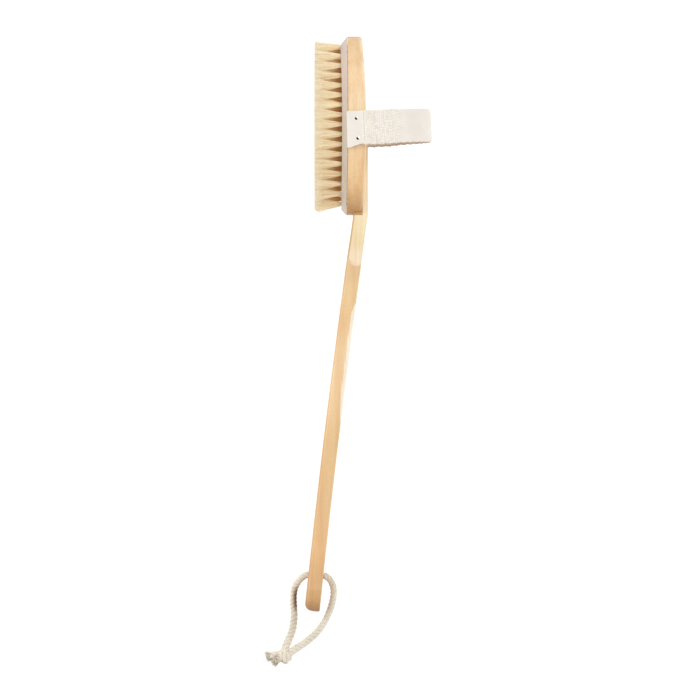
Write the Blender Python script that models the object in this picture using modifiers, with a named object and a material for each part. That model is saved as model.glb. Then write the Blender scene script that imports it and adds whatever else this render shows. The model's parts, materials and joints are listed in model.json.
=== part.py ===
"""Body dry brush with a long detachable handle, lying on its side.

The brush has its own frame, held by one tilted empty: X runs from the bristle tips to the back,
Y from the handle's tip to the top of the head, and Z across the head's width. The cord loop lies
on the surface that the brush rests on, so its route is given in the world.
"""

import math

import bmesh
import bpy
from mathutils import Matrix, Vector

MM = 0.001
GAP = 0.3 * MM  # between pieces that touch on the real brush

# Head: two thin boards with the same oval outline
HEAD_LENGTH = 132 * MM
HEAD_WIDTH = 66 * MM
OVAL_POWER = 2.3  # 2 is an ellipse, more is squarer
OUTLINE_POINTS = 48
JOINT_X = -1.1 * MM  # where the boards meet, at mid length
JOINT_BOWS = (1.3 * MM, 0.5 * MM)  # its bend towards the bristles at the lower and upper end
FACE_X = -5.4 * MM  # face that the bristles come out of
FACE_BOWS = (0.8 * MM, 1.5 * MM)
BACK_X = 12.5 * MM  # top of the domed back
BACK_DROP = 3.5 * MM  # the dome's fall from mid length to the ends
BACK_CROWN = 0.8 * MM  # its fall from the middle to each side
BACK_ROUND = 1.8 * MM  # rounding of the back's rim
CHAMFER = 4.1 * MM  # bevel all round the bristle board, near 45 degrees
CHAMFER_LIP = 0.4 * MM
LAND_WIDTH = 3.4 * MM  # glued rim of the cover board
WIRE_POCKET = 1.5 * MM  # room under the cover board for the draw wires

# Bristles
ROW_COUNT = 17
ROW_PITCH = 7.2 * MM
TUFT_SPACING = 8.6 * MM  # across the head
FIELD_MARGIN = 7.5 * MM  # from the outline to the outermost tufts, across the head
FIELD_END_MARGIN = 2.5 * MM  # more of it where the outline closes in at the ends
TIP_X = -25.6 * MM
TUFT_ROOT_RADIUS = 1.35 * MM
TUFT_TIP_RADIUS = 2.5 * MM
TUFT_SIDES = 6
SPLAY_LENGTH = 1.075  # the tips' spread over the roots', along and across the head
SPLAY_WIDTH = 1.14
TUFT_ROOT_DEPTH = 0.8 * MM  # how far the folded roots stand out behind the board
WIRE_DEPTH = 0.5 * MM
WIRE_RADIUS = 0.4 * MM

# Handle: a flat bar with a dovetail tongue
TONGUE_TOP_Y = -4 * MM
TONGUE_FRONT_X = 5.8 * MM
TONGUE_BACK_X = 13.4 * MM
TONGUE_FRONT_HALF = 10.6 * MM
TONGUE_BACK_HALF = 9.0 * MM
SHOULDER_Y = -66.7 * MM  # the bar's upper end, which stops against the head
TIP_Y = -356.8 * MM
BEND_FROM_Y = -60 * MM
BEND_TO_Y = -74 * MM
BEND_START_X = 8.0 * MM  # centre line above the bend
SLOPE_AT_BEND = 0.141  # centre line's lean towards the bristle side, per unit of length
SLOPE_AT_TIP = 0.103
NECK_THICKNESS = 10.6 * MM
GRIP_THICKNESS = 11.1 * MM
NECK_HALF_WIDTH = 10.6 * MM
GRIP_HALF_WIDTH = 12.0 * MM
EDGE_ROUND = 2.6 * MM
EDGE_SHARE = 0.9  # of the half thickness, the most that an edge's rounding takes
TIP_CORNER = 8.0 * MM  # plan radius of the tip's corners
TIP_EDGE = 1.4 * MM  # rounding of the tip's back edge
TIP_FRONT_REACH = 5.2 * MM  # along the handle, of the larger rounding at the tip's front
TIP_FRONT_DEPTH = 5.5 * MM  # and through its thickness
NECK_END_X = 4.8 * MM  # middle of the arc that ends the milled neck
NECK_END_Y = -98.5 * MM
NECK_END_RADIUS = 5.05 * MM
HOLE_Y = -330.4 * MM
HOLE_RADIUS = 3.3 * MM

# Hand strap: webbing whose folded ends are nailed to the sides of the cover board
STRAP_WIDTH = 25.0 * MM
HEM_THICKNESS = 3.2 * MM
WEB_THICKNESS = 1.8 * MM
HEM_START_X = -6.9 * MM  # from the strap frame's origin
HEM_END_X = 6.2 * MM
STRAP_TOP_X = 54.8 * MM
STRAP_CENTRE = (5.5 * MM, -2.3 * MM)
STRAP_LEAN = math.radians(2.6)
STRAP_INNER_Z = HEAD_WIDTH / 2 + GAP
STRAP_OUTER_Z = STRAP_INNER_Z + HEM_THICKNESS
NAIL_X = 0.25 * MM
NAIL_Y = 7.3 * MM
NAIL_DROP = 0.9 * MM  # how far the middle of each pair is below the strap's
NAIL_HEAD_RADIUS = 1.6 * MM
NAIL_HEAD_HEIGHT = 0.9 * MM
NAIL_SHANK_RADIUS = 0.6 * MM
NAIL_LENGTH = 13 * MM
NAIL_SINK = 1.0 * MM  # how deep the heads press into the hem
SEAM_X = 5.2 * MM
SEAM_HALF_LENGTH = 11.2 * MM
SEAM_DEPTH = 1.2 * MM
GROOVE_WIDTH = 1.2 * MM
THREAD_RADIUS = 0.3 * MM
THREAD_DEPTH = 0.52 * MM
THREAD_WAVE = 0.1 * MM
STITCH_PITCH = 1.6 * MM

# Hanging cord: how far each point of its loop is from the hole's centre along world X and Y,
# and how high its centre line is over the surface, all in millimetres
CORD_RADIUS = 2.5 * MM
CORD_POINT_SPACING = 4 * MM
CORD_ROUTE = (
    (-22.0, -52.2, 4.0), (-20.4, -48.2, 3.0), (-18.2, -42.8, 2.6), (-16.8, -37.2, 2.55),
    (-16.1, -30.6, 2.6), (-16.3, -24.2, 3.2), (-16.6, -18.4, 4.6), (-16.4, -13.0, 6.6),
    (-15.0, -7.8, 9.0), (-11.8, -3.2, 11.4), (-7.8, -0.2, 12.9), (-3.8, 0.4, 13.3),
    (0.0, 0.1, 13.35), (3.8, -0.3, 13.3), (7.6, -1.1, 12.8), (10.8, -4.0, 11.0),
    (12.7, -8.4, 8.8), (13.1, -12.8, 6.7), (12.6, -17.4, 4.8), (11.4, -22.4, 3.4),
    (9.4, -27.8, 2.7), (6.8, -33.2, 2.55), (3.5, -38.4, 2.55), (-0.5, -43.0, 2.6),
    (-5.0, -47.0, 2.7), (-10.0, -50.8, 3.2), (-15.9, -54.8, 4.6),
)
KNOT_OFFSET = (-22.3, -59.4)
KNOT_RADII = (5.6 * MM, 5.2 * MM, 5.1 * MM)
TAIL_ROOT_RADIUS = 1.8 * MM
TAIL_END_RADIUS = 3.0 * MM
TAILS = {"cord_tail_long": (-35.6, -59.9), "cord_tail_short": (-29.9, -67.0)}

# Rest pose: the lower side of the strap and the side of the handle's tip touch the surface
REST_TILT = math.atan2(
    STRAP_OUTER_Z - GRIP_HALF_WIDTH,
    STRAP_CENTRE[1] - STRAP_WIDTH / 2 - (TIP_Y + TIP_CORNER),
)

PARTS = bpy.data.collections.new("body_dry_brush")
CUTTERS = bpy.data.collections.new("cutters")


def clear_scene():
    for obj in list(bpy.data.objects):
        bpy.data.objects.remove(obj, do_unlink=True)
    for collection in (PARTS, CUTTERS):
        bpy.context.scene.collection.children.link(collection)


def linear(channel):
    """An sRGB channel from 0 to 255 as the linear value that a shader takes."""
    c = channel / 255
    return c / 12.92 if c <= 0.04045 else ((c + 0.055) / 1.055) ** 2.4


def material(name, rgb, roughness, metallic=0.0):
    found = bpy.data.materials.get(name)
    if found:
        return found
    made = bpy.data.materials.new(name)
    made.use_nodes = True
    shader = made.node_tree.nodes["Principled BSDF"]
    shader.inputs["Base Color"].default_value = (*[linear(c) for c in rgb], 1)
    shader.inputs["Roughness"].default_value = roughness
    shader.inputs["Metallic"].default_value = metallic
    return made


def head_wood():
    return material("head_wood", (243, 214, 166), 0.5)


def pale_board():
    return material("pale_board", (214, 204, 198), 0.6)


def handle_wood():
    return material("handle_wood", (232, 194, 146), 0.45)


def bristle():
    return material("bristle", (236, 220, 182), 0.6)


def cotton_webbing():
    return material("cotton_webbing", (240, 234, 226), 0.9)


def cotton_cord():
    return material("cotton_cord", (230, 220, 200), 0.9)


def nail_steel():
    return material("nail_steel", (190, 190, 195), 0.25, 1.0)


def add_object(name, data, look, parent=None, collection=PARTS):
    obj = bpy.data.objects.new(name, data)
    collection.objects.link(obj)
    obj.parent = parent
    if look:
        data.materials.append(look)
    return obj


def mesh_from(bm, name):
    bmesh.ops.recalc_face_normals(bm, faces=bm.faces)
    mesh = bpy.data.meshes.new(name)
    bm.to_mesh(mesh)
    bm.free()
    return mesh


def smooth(obj, degrees=35):
    obj.data.shade_smooth()
    obj.data.set_sharp_from_angle(angle=math.radians(degrees))


def as_mesh(obj):
    """Replaces a curve by the mesh that it makes, with its caps welded on."""
    graph = bpy.context.evaluated_depsgraph_get()
    mesh = bpy.data.meshes.new_from_object(obj.evaluated_get(graph), depsgraph=graph)
    bm = bmesh.new()
    bm.from_mesh(mesh)
    bmesh.ops.remove_doubles(bm, verts=bm.verts, dist=1e-6)
    bm.to_mesh(mesh)
    bm.free()
    name, parent, place = obj.name, obj.parent, obj.matrix_basis.copy()
    collection = obj.users_collection[0]
    bpy.data.objects.remove(obj, do_unlink=True)
    made = add_object(name, mesh, None, parent, collection)
    made.matrix_basis = place
    return made


def combine(obj, other, operation):
    boolean = obj.modifiers.new(operation.lower(), "BOOLEAN")
    boolean.operation = operation
    boolean.object = other
    other.hide_render = True
    other.display_type = "WIRE"


def loft(rings):
    """A closed body through rings of points, fanned shut at a centre point on each end."""
    bm = bmesh.new()
    loops = [[bm.verts.new(p) for p in ring] for ring in rings]
    for first, second in zip(loops, loops[1:]):
        for i in range(len(first)):
            j = (i + 1) % len(first)
            bm.faces.new((first[i], first[j], second[j], second[i]))
    for loop in (loops[0], loops[-1]):
        centre = bm.verts.new(sum((v.co for v in loop), Vector()) / len(loop))
        for i in range(len(loop)):
            bm.faces.new((centre, loop[i], loop[(i + 1) % len(loop)]))
    return bm


def move_into(bm, part):
    """Adds another bmesh to bm, as a body of its own, and frees it."""
    bmesh.ops.recalc_face_normals(part, faces=part.faces)
    single = bpy.data.meshes.new("single")
    part.to_mesh(single)
    part.free()
    bm.from_mesh(single)
    bpy.data.meshes.remove(single)


def prism(name, outline, axis_from, axis_to, place, parent, collection, look=None):
    """A straight body: outline's points, put into space by place(a, b, along), at both ends."""
    bm = bmesh.new()
    ends = [[bm.verts.new(place(a, b, s)) for a, b in outline] for s in (axis_from, axis_to)]
    for loop in ends:
        bm.faces.new(loop)
    for i in range(len(outline)):
        j = (i + 1) % len(outline)
        bm.faces.new((ends[0][i], ends[0][j], ends[1][j], ends[1][i]))
    return add_object(name, mesh_from(bm, name), look, parent, collection)


# ---------------------------------------------------------------- head


def signed_power(value, power):
    return math.copysign(abs(value) ** power, value)


def half_width_at(y):
    """Half of the head's width at height y."""
    share = min(1.0, abs(y) / (HEAD_LENGTH / 2))
    return HEAD_WIDTH / 2 * (1 - share**OVAL_POWER) ** (1 / OVAL_POWER)


def oval(inset=0.0, scale=1.0):
    """(y, z) points of the head's outline, moved inwards along its normal and scaled."""
    a, b = HEAD_LENGTH / 2, HEAD_WIDTH / 2
    points = []
    for i in range(OUTLINE_POINTS):
        turn = 2 * math.pi * (i + 0.5) / OUTLINE_POINTS
        y = a * signed_power(math.cos(turn), 2 / OVAL_POWER)
        z = b * signed_power(math.sin(turn), 2 / OVAL_POWER)
        normal = Vector((
            signed_power(y / a, OVAL_POWER - 1) / a,
            signed_power(z / b, OVAL_POWER - 1) / b,
        )).normalized()
        points.append(((y - inset * normal.x) * scale, (z - inset * normal.y) * scale))
    return points


def end_share(y):
    return (y / (HEAD_LENGTH / 2)) ** 2


def joint_x(y):
    return JOINT_X - JOINT_BOWS[y > 0] * end_share(y)


def face_x(y):
    return FACE_X - FACE_BOWS[y > 0] * end_share(y)


def back_x(y, z):
    return BACK_X - BACK_DROP * end_share(y) - BACK_CROWN * (z / (HEAD_WIDTH / 2)) ** 2


def ring_at(height, inset=0.0, scale=1.0):
    """A ring over the outline; height gives X from a point's (y, z)."""
    return [Vector((height(y, z), y, z)) for y, z in oval(inset, scale)]


def bristle_board(brush):
    def back(y, z):
        return joint_x(y) - GAP / 2

    def lip(y, z):
        return joint_x(y) - GAP / 2 - CHAMFER_LIP

    def face(y, z):
        return face_x(y)

    rings = [ring_at(back, scale=s) for s in (0.35, 0.7, 1.0)]
    rings.append(ring_at(lip))
    rings += [ring_at(face, CHAMFER, s) for s in (1.0, 0.7, 0.35)]
    board = add_object("bristle_board", mesh_from(loft(rings), "bristle_board"), pale_board(), brush)
    combine(board, tuft_hole_cutter(brush), "DIFFERENCE")
    return board


def cover_board(brush):
    def glue_face(y, z):
        return joint_x(y) + GAP / 2

    def pocket(y, z):
        return joint_x(y) + WIRE_POCKET

    rings = [ring_at(pocket, LAND_WIDTH, s) for s in (0.35, 0.7, 1.0)]
    rings.append(ring_at(glue_face, LAND_WIDTH))
    rings.append(ring_at(glue_face))
    for step in range(4):
        turn = math.pi / 2 * step / 3

        def rim(y, z, rise=BACK_ROUND * (1 - math.sin(turn))):
            return back_x(y, z) - rise

        rings.append(ring_at(rim, BACK_ROUND * (1 - math.cos(turn))))
    rings += [ring_at(back_x, BACK_ROUND, s) for s in (0.75, 0.5, 0.25)]
    board = add_object("cover_board", mesh_from(loft(rings), "cover_board"), head_wood(), brush)
    combine(board, tongue_body("tongue_slot", brush, GAP), "DIFFERENCE")
    return board


def tongue_body(name, brush, spare=0.0):
    """The dovetail tongue or, with something to spare, the slot that it slides in."""
    inner, outer = TONGUE_FRONT_HALF + spare, TONGUE_BACK_HALF + spare
    back = TONGUE_BACK_X
    if spare:
        rise = 4 * MM  # the slot's flanks go on past the back of the head
        outer -= (TONGUE_FRONT_HALF - TONGUE_BACK_HALF) * rise / (TONGUE_BACK_X - TONGUE_FRONT_X)
        back += rise
    front = TONGUE_FRONT_X - spare
    outline = [(front, -inner), (back, -outer), (back, outer), (front, inner)]
    low_y = SHOULDER_Y - 2 * MM
    return prism(
        name, outline, low_y, TONGUE_TOP_Y + spare,
        lambda a, b, s: Vector((a, s, b)), brush, CUTTERS,
    )


# ---------------------------------------------------------------- bristles


def tufts_of_row(row):
    """(y, z) of each tuft root in a row across the head. Every second one is half a pitch back
    towards mid length, as the holes are staggered, and the middle row has only the outer ones."""
    middle = (ROW_COUNT - 1) // 2
    y = (row - middle) * ROW_PITCH
    reach = half_width_at(abs(y) + FIELD_END_MARGIN) - FIELD_MARGIN
    count = round(2 * reach / TUFT_SPACING) + 1
    tufts = []
    for i in range(count):
        staggered = min(i, count - 1 - i) % 2 == 1
        if staggered and row == middle:
            continue
        shift = -math.copysign(ROW_PITCH / 2, y) if staggered else 0.0
        tufts.append((y + shift, -reach + 2 * reach * i / (count - 1)))
    return tufts


def tuft_ring(x, y, z, radius):
    return [
        Vector((x, y + radius * math.cos(turn), z + radius * math.sin(turn)))
        for turn in (2 * math.pi * i / TUFT_SIDES for i in range(TUFT_SIDES))
    ]


def tuft_hole_cutter(brush):
    bm = bmesh.new()
    for row in range(ROW_COUNT):
        for y, z in tufts_of_row(row):
            turned = Matrix.Rotation(math.pi / 2, 4, "Y")
            bmesh.ops.create_cone(
                bm, cap_ends=True, segments=TUFT_SIDES, depth=12 * MM,
                radius1=TUFT_ROOT_RADIUS + GAP, radius2=TUFT_ROOT_RADIUS + GAP,
                matrix=Matrix.Translation((JOINT_X - 3 * MM, y, z)) @ turned,
            )
    return add_object("tuft_holes", mesh_from(bm, "tuft_holes"), None, brush, CUTTERS)


def bristle_row(row, brush):
    """One row of tufts with the draw wire that holds them behind the board, as one body."""
    tufts = tufts_of_row(row)
    name = f"bristle_row_{row + 1:02d}"
    bm = bmesh.new()
    for y, z in tufts:
        move_into(bm, loft([
            tuft_ring(joint_x(y) + TUFT_ROOT_DEPTH, y, z, TUFT_ROOT_RADIUS),
            tuft_ring(face_x(y) - GAP, y, z, TUFT_ROOT_RADIUS),
            tuft_ring(TIP_X, y * SPLAY_LENGTH, z * SPLAY_WIDTH, TUFT_TIP_RADIUS),
        ]))
    comb = add_object(name, mesh_from(bm, name), bristle(), brush)
    wire = poly_curve(
        f"draw_wire_{row + 1:02d}", [Vector((joint_x(y) + WIRE_DEPTH, y, z)) for y, z in tufts],
        WIRE_RADIUS, 0, brush, CUTTERS,
    )
    combine(comb, as_mesh(wire), "UNION")
    return comb


def poly_curve(name, points, radius, resolution, parent, collection=PARTS, look=None):
    curve = bpy.data.curves.new(name, "CURVE")
    curve.dimensions = "3D"
    spline = curve.splines.new("POLY")
    spline.points.add(len(points) - 1)
    for place, point in zip(spline.points, points):
        place.co = (*point, 1)
    curve.bevel_depth = radius
    curve.bevel_resolution = resolution
    curve.use_fill_caps = True
    return add_object(name, curve, look, parent, collection)


# ---------------------------------------------------------------- handle


def ease(share):
    share = min(1.0, max(0.0, share))
    return share * share * (3 - 2 * share)


def slope_at(y):
    """How fast the handle's centre line moves towards -X on its way down."""
    bend = ease((BEND_FROM_Y - y) / (BEND_FROM_Y - BEND_TO_Y))
    along = max(0.0, (BEND_TO_Y - y) / (BEND_TO_Y - TIP_Y))
    return bend * (SLOPE_AT_BEND + (SLOPE_AT_TIP - SLOPE_AT_BEND) * along)


def centre_x(y, steps=200):
    """X of the handle's centre line at height y."""
    step = (BEND_FROM_Y - y) / steps
    return BEND_START_X - sum(
        slope_at(BEND_FROM_Y - (i + 0.5) * step) * step for i in range(steps)
    )


def thickness_direction(y):
    angle = math.atan(slope_at(y))
    return Vector((math.cos(angle), -math.sin(angle), 0))


def half_thickness(y):
    grown = ease((BEND_TO_Y - y) / (BEND_TO_Y - NECK_END_Y + NECK_END_RADIUS))
    return (NECK_THICKNESS + (GRIP_THICKNESS - NECK_THICKNESS) * grown) / 2


def rounded(from_end, reach, depth):
    """How far an elliptical corner draws a side in, at a distance from the end it runs out to."""
    share = max(0.0, 1 - from_end / reach)
    return depth * (1 - math.sqrt(1 - share**2))


def handle_section(y):
    """Rounded rectangle across the handle at height y, drawn in towards the tip."""
    from_tip, full = y - TIP_Y, half_thickness(y)
    half_w = GRIP_HALF_WIDTH - rounded(from_tip, TIP_CORNER, TIP_CORNER)
    front = rounded(from_tip, TIP_FRONT_REACH, TIP_FRONT_DEPTH) - full
    back = full - rounded(from_tip, TIP_EDGE, TIP_EDGE)
    middle, half_t = (front + back) / 2, (back - front) / 2
    edge = min(EDGE_ROUND, EDGE_SHARE * half_t)
    centre = Vector((centre_x(y), y, 0))
    across = thickness_direction(y)
    points = []
    for corner, (side_t, side_w) in enumerate(((1, 1), (-1, 1), (-1, -1), (1, -1))):
        for step in range(5):
            turn = math.pi / 2 * (corner + step / 4)
            t = middle + side_t * (half_t - edge) + edge * math.cos(turn)
            w = side_w * (half_w - edge) + edge * math.sin(turn)
            points.append(centre + across * t + Vector((0, 0, w)))
    return points


def handle_stations():
    """Heights of the handle's sections, close together at the bend and at the tip."""
    stations = [SHOULDER_Y, -70 * MM, -74 * MM, -80 * MM, -90 * MM, -100 * MM]
    lower, count = TIP_Y + TIP_CORNER, 12
    first = stations[-1]
    stations += [first + (lower - first) * i / count for i in range(1, count + 1)]
    stations += [TIP_Y + e * MM for e in (5.6, 3.6, 2.0, 1.0, 0.4, 0.05)]
    return stations


def neck_cutter(side, brush):
    """Mills one side of the neck narrower than the grip, down to a half circle."""
    steps, top = 16, SHOULDER_Y + 5 * MM
    arc = []
    for i in range(steps + 1):
        turn = math.pi * (1 + i / steps)
        x = NECK_END_X + NECK_END_RADIUS * math.cos(turn)
        arc.append((x, NECK_END_Y + NECK_END_RADIUS * math.sin(turn)))
    ends = (-15 * MM, top), (-15 * MM, NECK_END_Y), (25 * MM, NECK_END_Y), (25 * MM, top)
    outline = [*ends[:2], *arc, *ends[2:]]
    return prism(
        f"neck_mill_{'far' if side < 0 else 'near'}", outline,
        side * NECK_HALF_WIDTH, side * 20 * MM,
        lambda a, b, s: Vector((a, b, s)), brush, CUTTERS,
    )


def handle(brush):
    slide = add_object("handle_slide", None, None, brush)  # on the line that the tongue slides along
    slide.location = (TONGUE_FRONT_X, 0, 0)
    bm = loft([handle_section(y) for y in handle_stations()])
    bmesh.ops.translate(bm, verts=bm.verts, vec=-slide.location)
    bar = add_object("handle", mesh_from(bm, "handle"), handle_wood(), slide)
    for side in (1, -1):
        combine(bar, neck_cutter(side, brush), "DIFFERENCE")
    combine(bar, tongue_body("tongue", brush), "UNION")
    bm = bmesh.new()
    bmesh.ops.create_cone(
        bm, cap_ends=True, segments=20, depth=30 * MM, radius1=HOLE_RADIUS, radius2=HOLE_RADIUS,
    )
    drill = add_object("cord_hole", mesh_from(bm, "cord_hole"), None, brush, CUTTERS)
    drill.location = hole_centre()
    drill.rotation_mode = "QUATERNION"
    drill.rotation_quaternion = thickness_direction(HOLE_Y).to_track_quat("Z", "Y")
    combine(bar, drill, "DIFFERENCE")
    return bar


def hole_centre():
    return Vector((centre_x(HOLE_Y), HOLE_Y, 0))


# ---------------------------------------------------------------- strap


def strap_frame(brush):
    frame = add_object("strap_frame", None, None, brush)
    frame.location = (*STRAP_CENTRE, 0)
    frame.rotation_euler = (0, 0, STRAP_LEAN)
    return frame


def arch(radius, steps=22):
    """Half circle over the back of the hand, from the near side to the far one."""
    centre = STRAP_TOP_X - STRAP_OUTER_Z
    return [
        (centre + radius * math.sin(math.pi * i / steps), radius * math.cos(math.pi * i / steps))
        for i in range(steps + 1)
    ]


def strap(frame):
    inside = STRAP_OUTER_Z - WEB_THICKNESS
    outer = [(HEM_START_X, STRAP_OUTER_Z), *arch(STRAP_OUTER_Z), (HEM_START_X, -STRAP_OUTER_Z)]
    inner = [
        (HEM_START_X, STRAP_INNER_Z), (HEM_END_X, STRAP_INNER_Z), (HEM_END_X, inside),
        *arch(inside),
        (HEM_END_X, -inside), (HEM_END_X, -STRAP_INNER_Z), (HEM_START_X, -STRAP_INNER_Z),
    ]
    band = prism(
        "hand_strap", outer + inner[::-1], -STRAP_WIDTH / 2, STRAP_WIDTH / 2,
        lambda a, b, s: Vector((a, s, b)), frame, PARTS, cotton_webbing(),
    )
    combine(band, strap_cutter(frame), "DIFFERENCE")
    return band


def nail_places():
    """(name, x, y, side) of each nail in the strap's frame."""
    for side, side_name in ((1, "near"), (-1, "far")):
        yield f"strap_nail_{side_name}_upper", -NAIL_X, NAIL_Y - NAIL_DROP, side
        yield f"strap_nail_{side_name}_lower", NAIL_X, -NAIL_Y - NAIL_DROP, side


def circle(x, y, z, radius, points=12):
    turns = [2 * math.pi * i / points for i in range(points)]
    return [Vector((x + radius * math.cos(t), y + radius * math.sin(t), z)) for t in turns]


def strap_cutter(frame):
    """Dimples under the nail heads, with holes for their shanks, and a groove for each seam."""
    bm = bmesh.new()
    shank, head = NAIL_SHANK_RADIUS + GAP, NAIL_HEAD_RADIUS + GAP
    seat = STRAP_OUTER_Z - NAIL_SINK
    for _, x, y, side in nail_places():
        steps = ((shank, STRAP_INNER_Z - GAP), (shank, seat), (head, seat), (head, STRAP_OUTER_Z + GAP))
        move_into(bm, loft([circle(x, y, side * z, radius) for radius, z in steps]))
    for side in (1, -1):
        size = (GROOVE_WIDTH, 2 * SEAM_HALF_LENGTH + GROOVE_WIDTH, 2 * SEAM_DEPTH)
        place = Matrix.Translation((SEAM_X, 0, side * STRAP_OUTER_Z))
        bmesh.ops.create_cube(bm, size=1, matrix=place @ Matrix.Diagonal((*size, 1)))
    return add_object("strap_holes", mesh_from(bm, "strap_holes"), None, frame, CUTTERS)


def pilot_holes(board, frame):
    bm = bmesh.new()
    bottom, top = STRAP_OUTER_Z - NAIL_SINK - NAIL_LENGTH - 2 * GAP, STRAP_OUTER_Z
    for _, x, y, side in nail_places():
        ends = [circle(x, y, side * z, NAIL_SHANK_RADIUS + GAP, 10) for z in (bottom, top)]
        move_into(bm, loft(ends))
    cutter = add_object("pilot_holes", mesh_from(bm, "pilot_holes"), None, frame, CUTTERS)
    combine(board, cutter, "DIFFERENCE")


def nail_mesh():
    """Half of a nail's outline, from the top of its domed head down to its point."""
    dome = [
        (NAIL_HEAD_RADIUS * math.sin(turn), NAIL_HEAD_HEIGHT * math.cos(turn))
        for turn in (math.pi / 2 * i / 4 for i in range(4))
    ]
    outline = [
        *dome, (NAIL_HEAD_RADIUS, 0.15 * MM), (NAIL_HEAD_RADIUS, 0), (NAIL_SHANK_RADIUS, 0),
        (NAIL_SHANK_RADIUS, 1.5 * MM - NAIL_LENGTH), (0, -NAIL_LENGTH),
    ]
    mesh = bpy.data.meshes.new("strap_nail")
    mesh.from_pydata([(x, 0, z) for x, z in outline], [(i, i + 1) for i in range(len(outline) - 1)], [])
    mesh.materials.append(nail_steel())
    return mesh


def nails(frame):
    mesh = nail_mesh()
    made = []
    for name, x, y, side in nail_places():
        nail = add_object(name, mesh, None, frame)
        nail.location = (x, y, side * (STRAP_OUTER_Z - NAIL_SINK + GAP))
        nail.rotation_euler = (0 if side > 0 else math.pi, 0, 0)
        screw = nail.modifiers.new("turned", "SCREW")
        screw.steps = screw.render_steps = 14
        screw.use_merge_vertices = True
        screw.merge_threshold = 1e-5
        made.append(nail)
    return made


def seams(frame):
    made = []
    for side, side_name in ((1, "near"), (-1, "far")):
        count = round(2 * SEAM_HALF_LENGTH / STITCH_PITCH) * 2
        points = []
        for i in range(count + 1):
            depth = THREAD_DEPTH + (THREAD_WAVE if i % 2 else -THREAD_WAVE)
            y = -SEAM_HALF_LENGTH + 2 * SEAM_HALF_LENGTH * i / count
            points.append(Vector((SEAM_X, y, side * (STRAP_OUTER_Z - depth))))
        made.append(poly_curve(
            f"strap_seam_{side_name}", points, THREAD_RADIUS, 0, frame, look=cotton_webbing(),
        ))
    return made


# ---------------------------------------------------------------- hanging cord


def smooth_path(points, spacing):
    """Points about that far apart on a smooth curve through the given ones (Catmull-Rom)."""
    padded = [2 * points[0] - points[1], *points, 2 * points[-1] - points[-2]]
    fine = []
    for a, b, c, d in zip(padded, padded[1:], padded[2:], padded[3:]):
        for i in range(16):
            t = i / 16
            fine.append(0.5 * (
                2 * b + (c - a) * t + (2 * a - 5 * b + 4 * c - d) * t**2
                + (3 * b - a - 3 * c + d) * t**3
            ))
    fine.append(points[-1])
    lengths = [0.0]
    for a, b in zip(fine, fine[1:]):
        lengths.append(lengths[-1] + (b - a).length)
    count = round(lengths[-1] / spacing)
    path, k = [], 0
    for i in range(count + 1):
        wanted = lengths[-1] * i / count
        while k < len(fine) - 2 and lengths[k + 1] < wanted:
            k += 1
        share = (wanted - lengths[k]) / (lengths[k + 1] - lengths[k])
        path.append(fine[k].lerp(fine[k + 1], min(1.0, share)))
    return path


def from_hole(hole, offset, height):
    """A point over the surface, measured from the hole's centre, where the cord's pivot is."""
    return Vector((offset[0] * MM, offset[1] * MM, height - hole.z))


def cord_pivot(hole):
    pivot = add_object("cord_pivot", None, None)
    pivot.location = hole
    return pivot


def hanging_cord(pivot):
    route = [from_hole(pivot.location, (x, y), z * MM) for x, y, z in CORD_ROUTE]
    path = smooth_path(route, CORD_POINT_SPACING)
    return poly_curve("hanging_cord", path, CORD_RADIUS, 2, pivot, look=cotton_cord())


def cord_knot(pivot):
    bm = bmesh.new()
    bmesh.ops.create_icosphere(bm, subdivisions=2, radius=1)
    knot = add_object("cord_knot", mesh_from(bm, "cord_knot"), cotton_cord(), pivot)
    knot.data.transform(Matrix.Diagonal((*KNOT_RADII, 1)))
    knot.location = from_hole(pivot.location, KNOT_OFFSET, KNOT_RADII[2])
    return knot


def cord_tails(pivot, knot):
    for name, offset in TAILS.items():
        end = from_hole(pivot.location, offset, TAIL_END_RADIUS)
        way = Vector((end.x - knot.location.x, end.y - knot.location.y, 0)).normalized()
        start = knot.location + way * (KNOT_RADII[0] + GAP)
        start.z = end.z
        bm = bmesh.new()
        bmesh.ops.create_cone(
            bm, cap_ends=True, segments=12, depth=(end - start).length,
            radius1=TAIL_ROOT_RADIUS, radius2=TAIL_END_RADIUS,
        )
        tail = add_object(name, mesh_from(bm, name), cotton_cord(), pivot)
        tail.location = (start + end) / 2
        tail.rotation_mode = "QUATERNION"
        tail.rotation_quaternion = (end - start).to_track_quat("Z", "Y")


# ---------------------------------------------------------------- assembly


def stand(brush, solids):
    """Moves the tilted brush so that it touches Z = 0 and is centred over the origin."""
    graph = bpy.context.evaluated_depsgraph_get()
    low, high = Vector((1e9,) * 3), Vector((-1e9,) * 3)
    for obj in solids:
        shape = obj.evaluated_get(graph)
        for vertex in shape.to_mesh().vertices:
            point = shape.matrix_world @ vertex.co
            low = Vector(map(min, low, point))
            high = Vector(map(max, high, point))
        shape.to_mesh_clear()
    brush.location -= Vector(((low.x + high.x) / 2, (low.y + high.y) / 2, low.z))


def main():
    clear_scene()
    brush = add_object("brush", None, None)
    brush.rotation_euler = (REST_TILT, 0, 0)
    frame = strap_frame(brush)
    board, cover = bristle_board(brush), cover_board(brush)
    pilot_holes(cover, frame)
    solids = [board, cover, strap(frame), *nails(frame), *seams(frame), handle(brush)]
    solids += [bristle_row(row, brush) for row in range(ROW_COUNT)]
    bpy.context.view_layer.update()
    stand(brush, solids)
    bpy.context.view_layer.update()
    pivot = cord_pivot(brush.matrix_world @ hole_centre())
    hanging_cord(pivot)
    cord_tails(pivot, cord_knot(pivot))
    for obj in PARTS.objects:
        if obj.type == "MESH":
            smooth(obj)


main()
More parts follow.
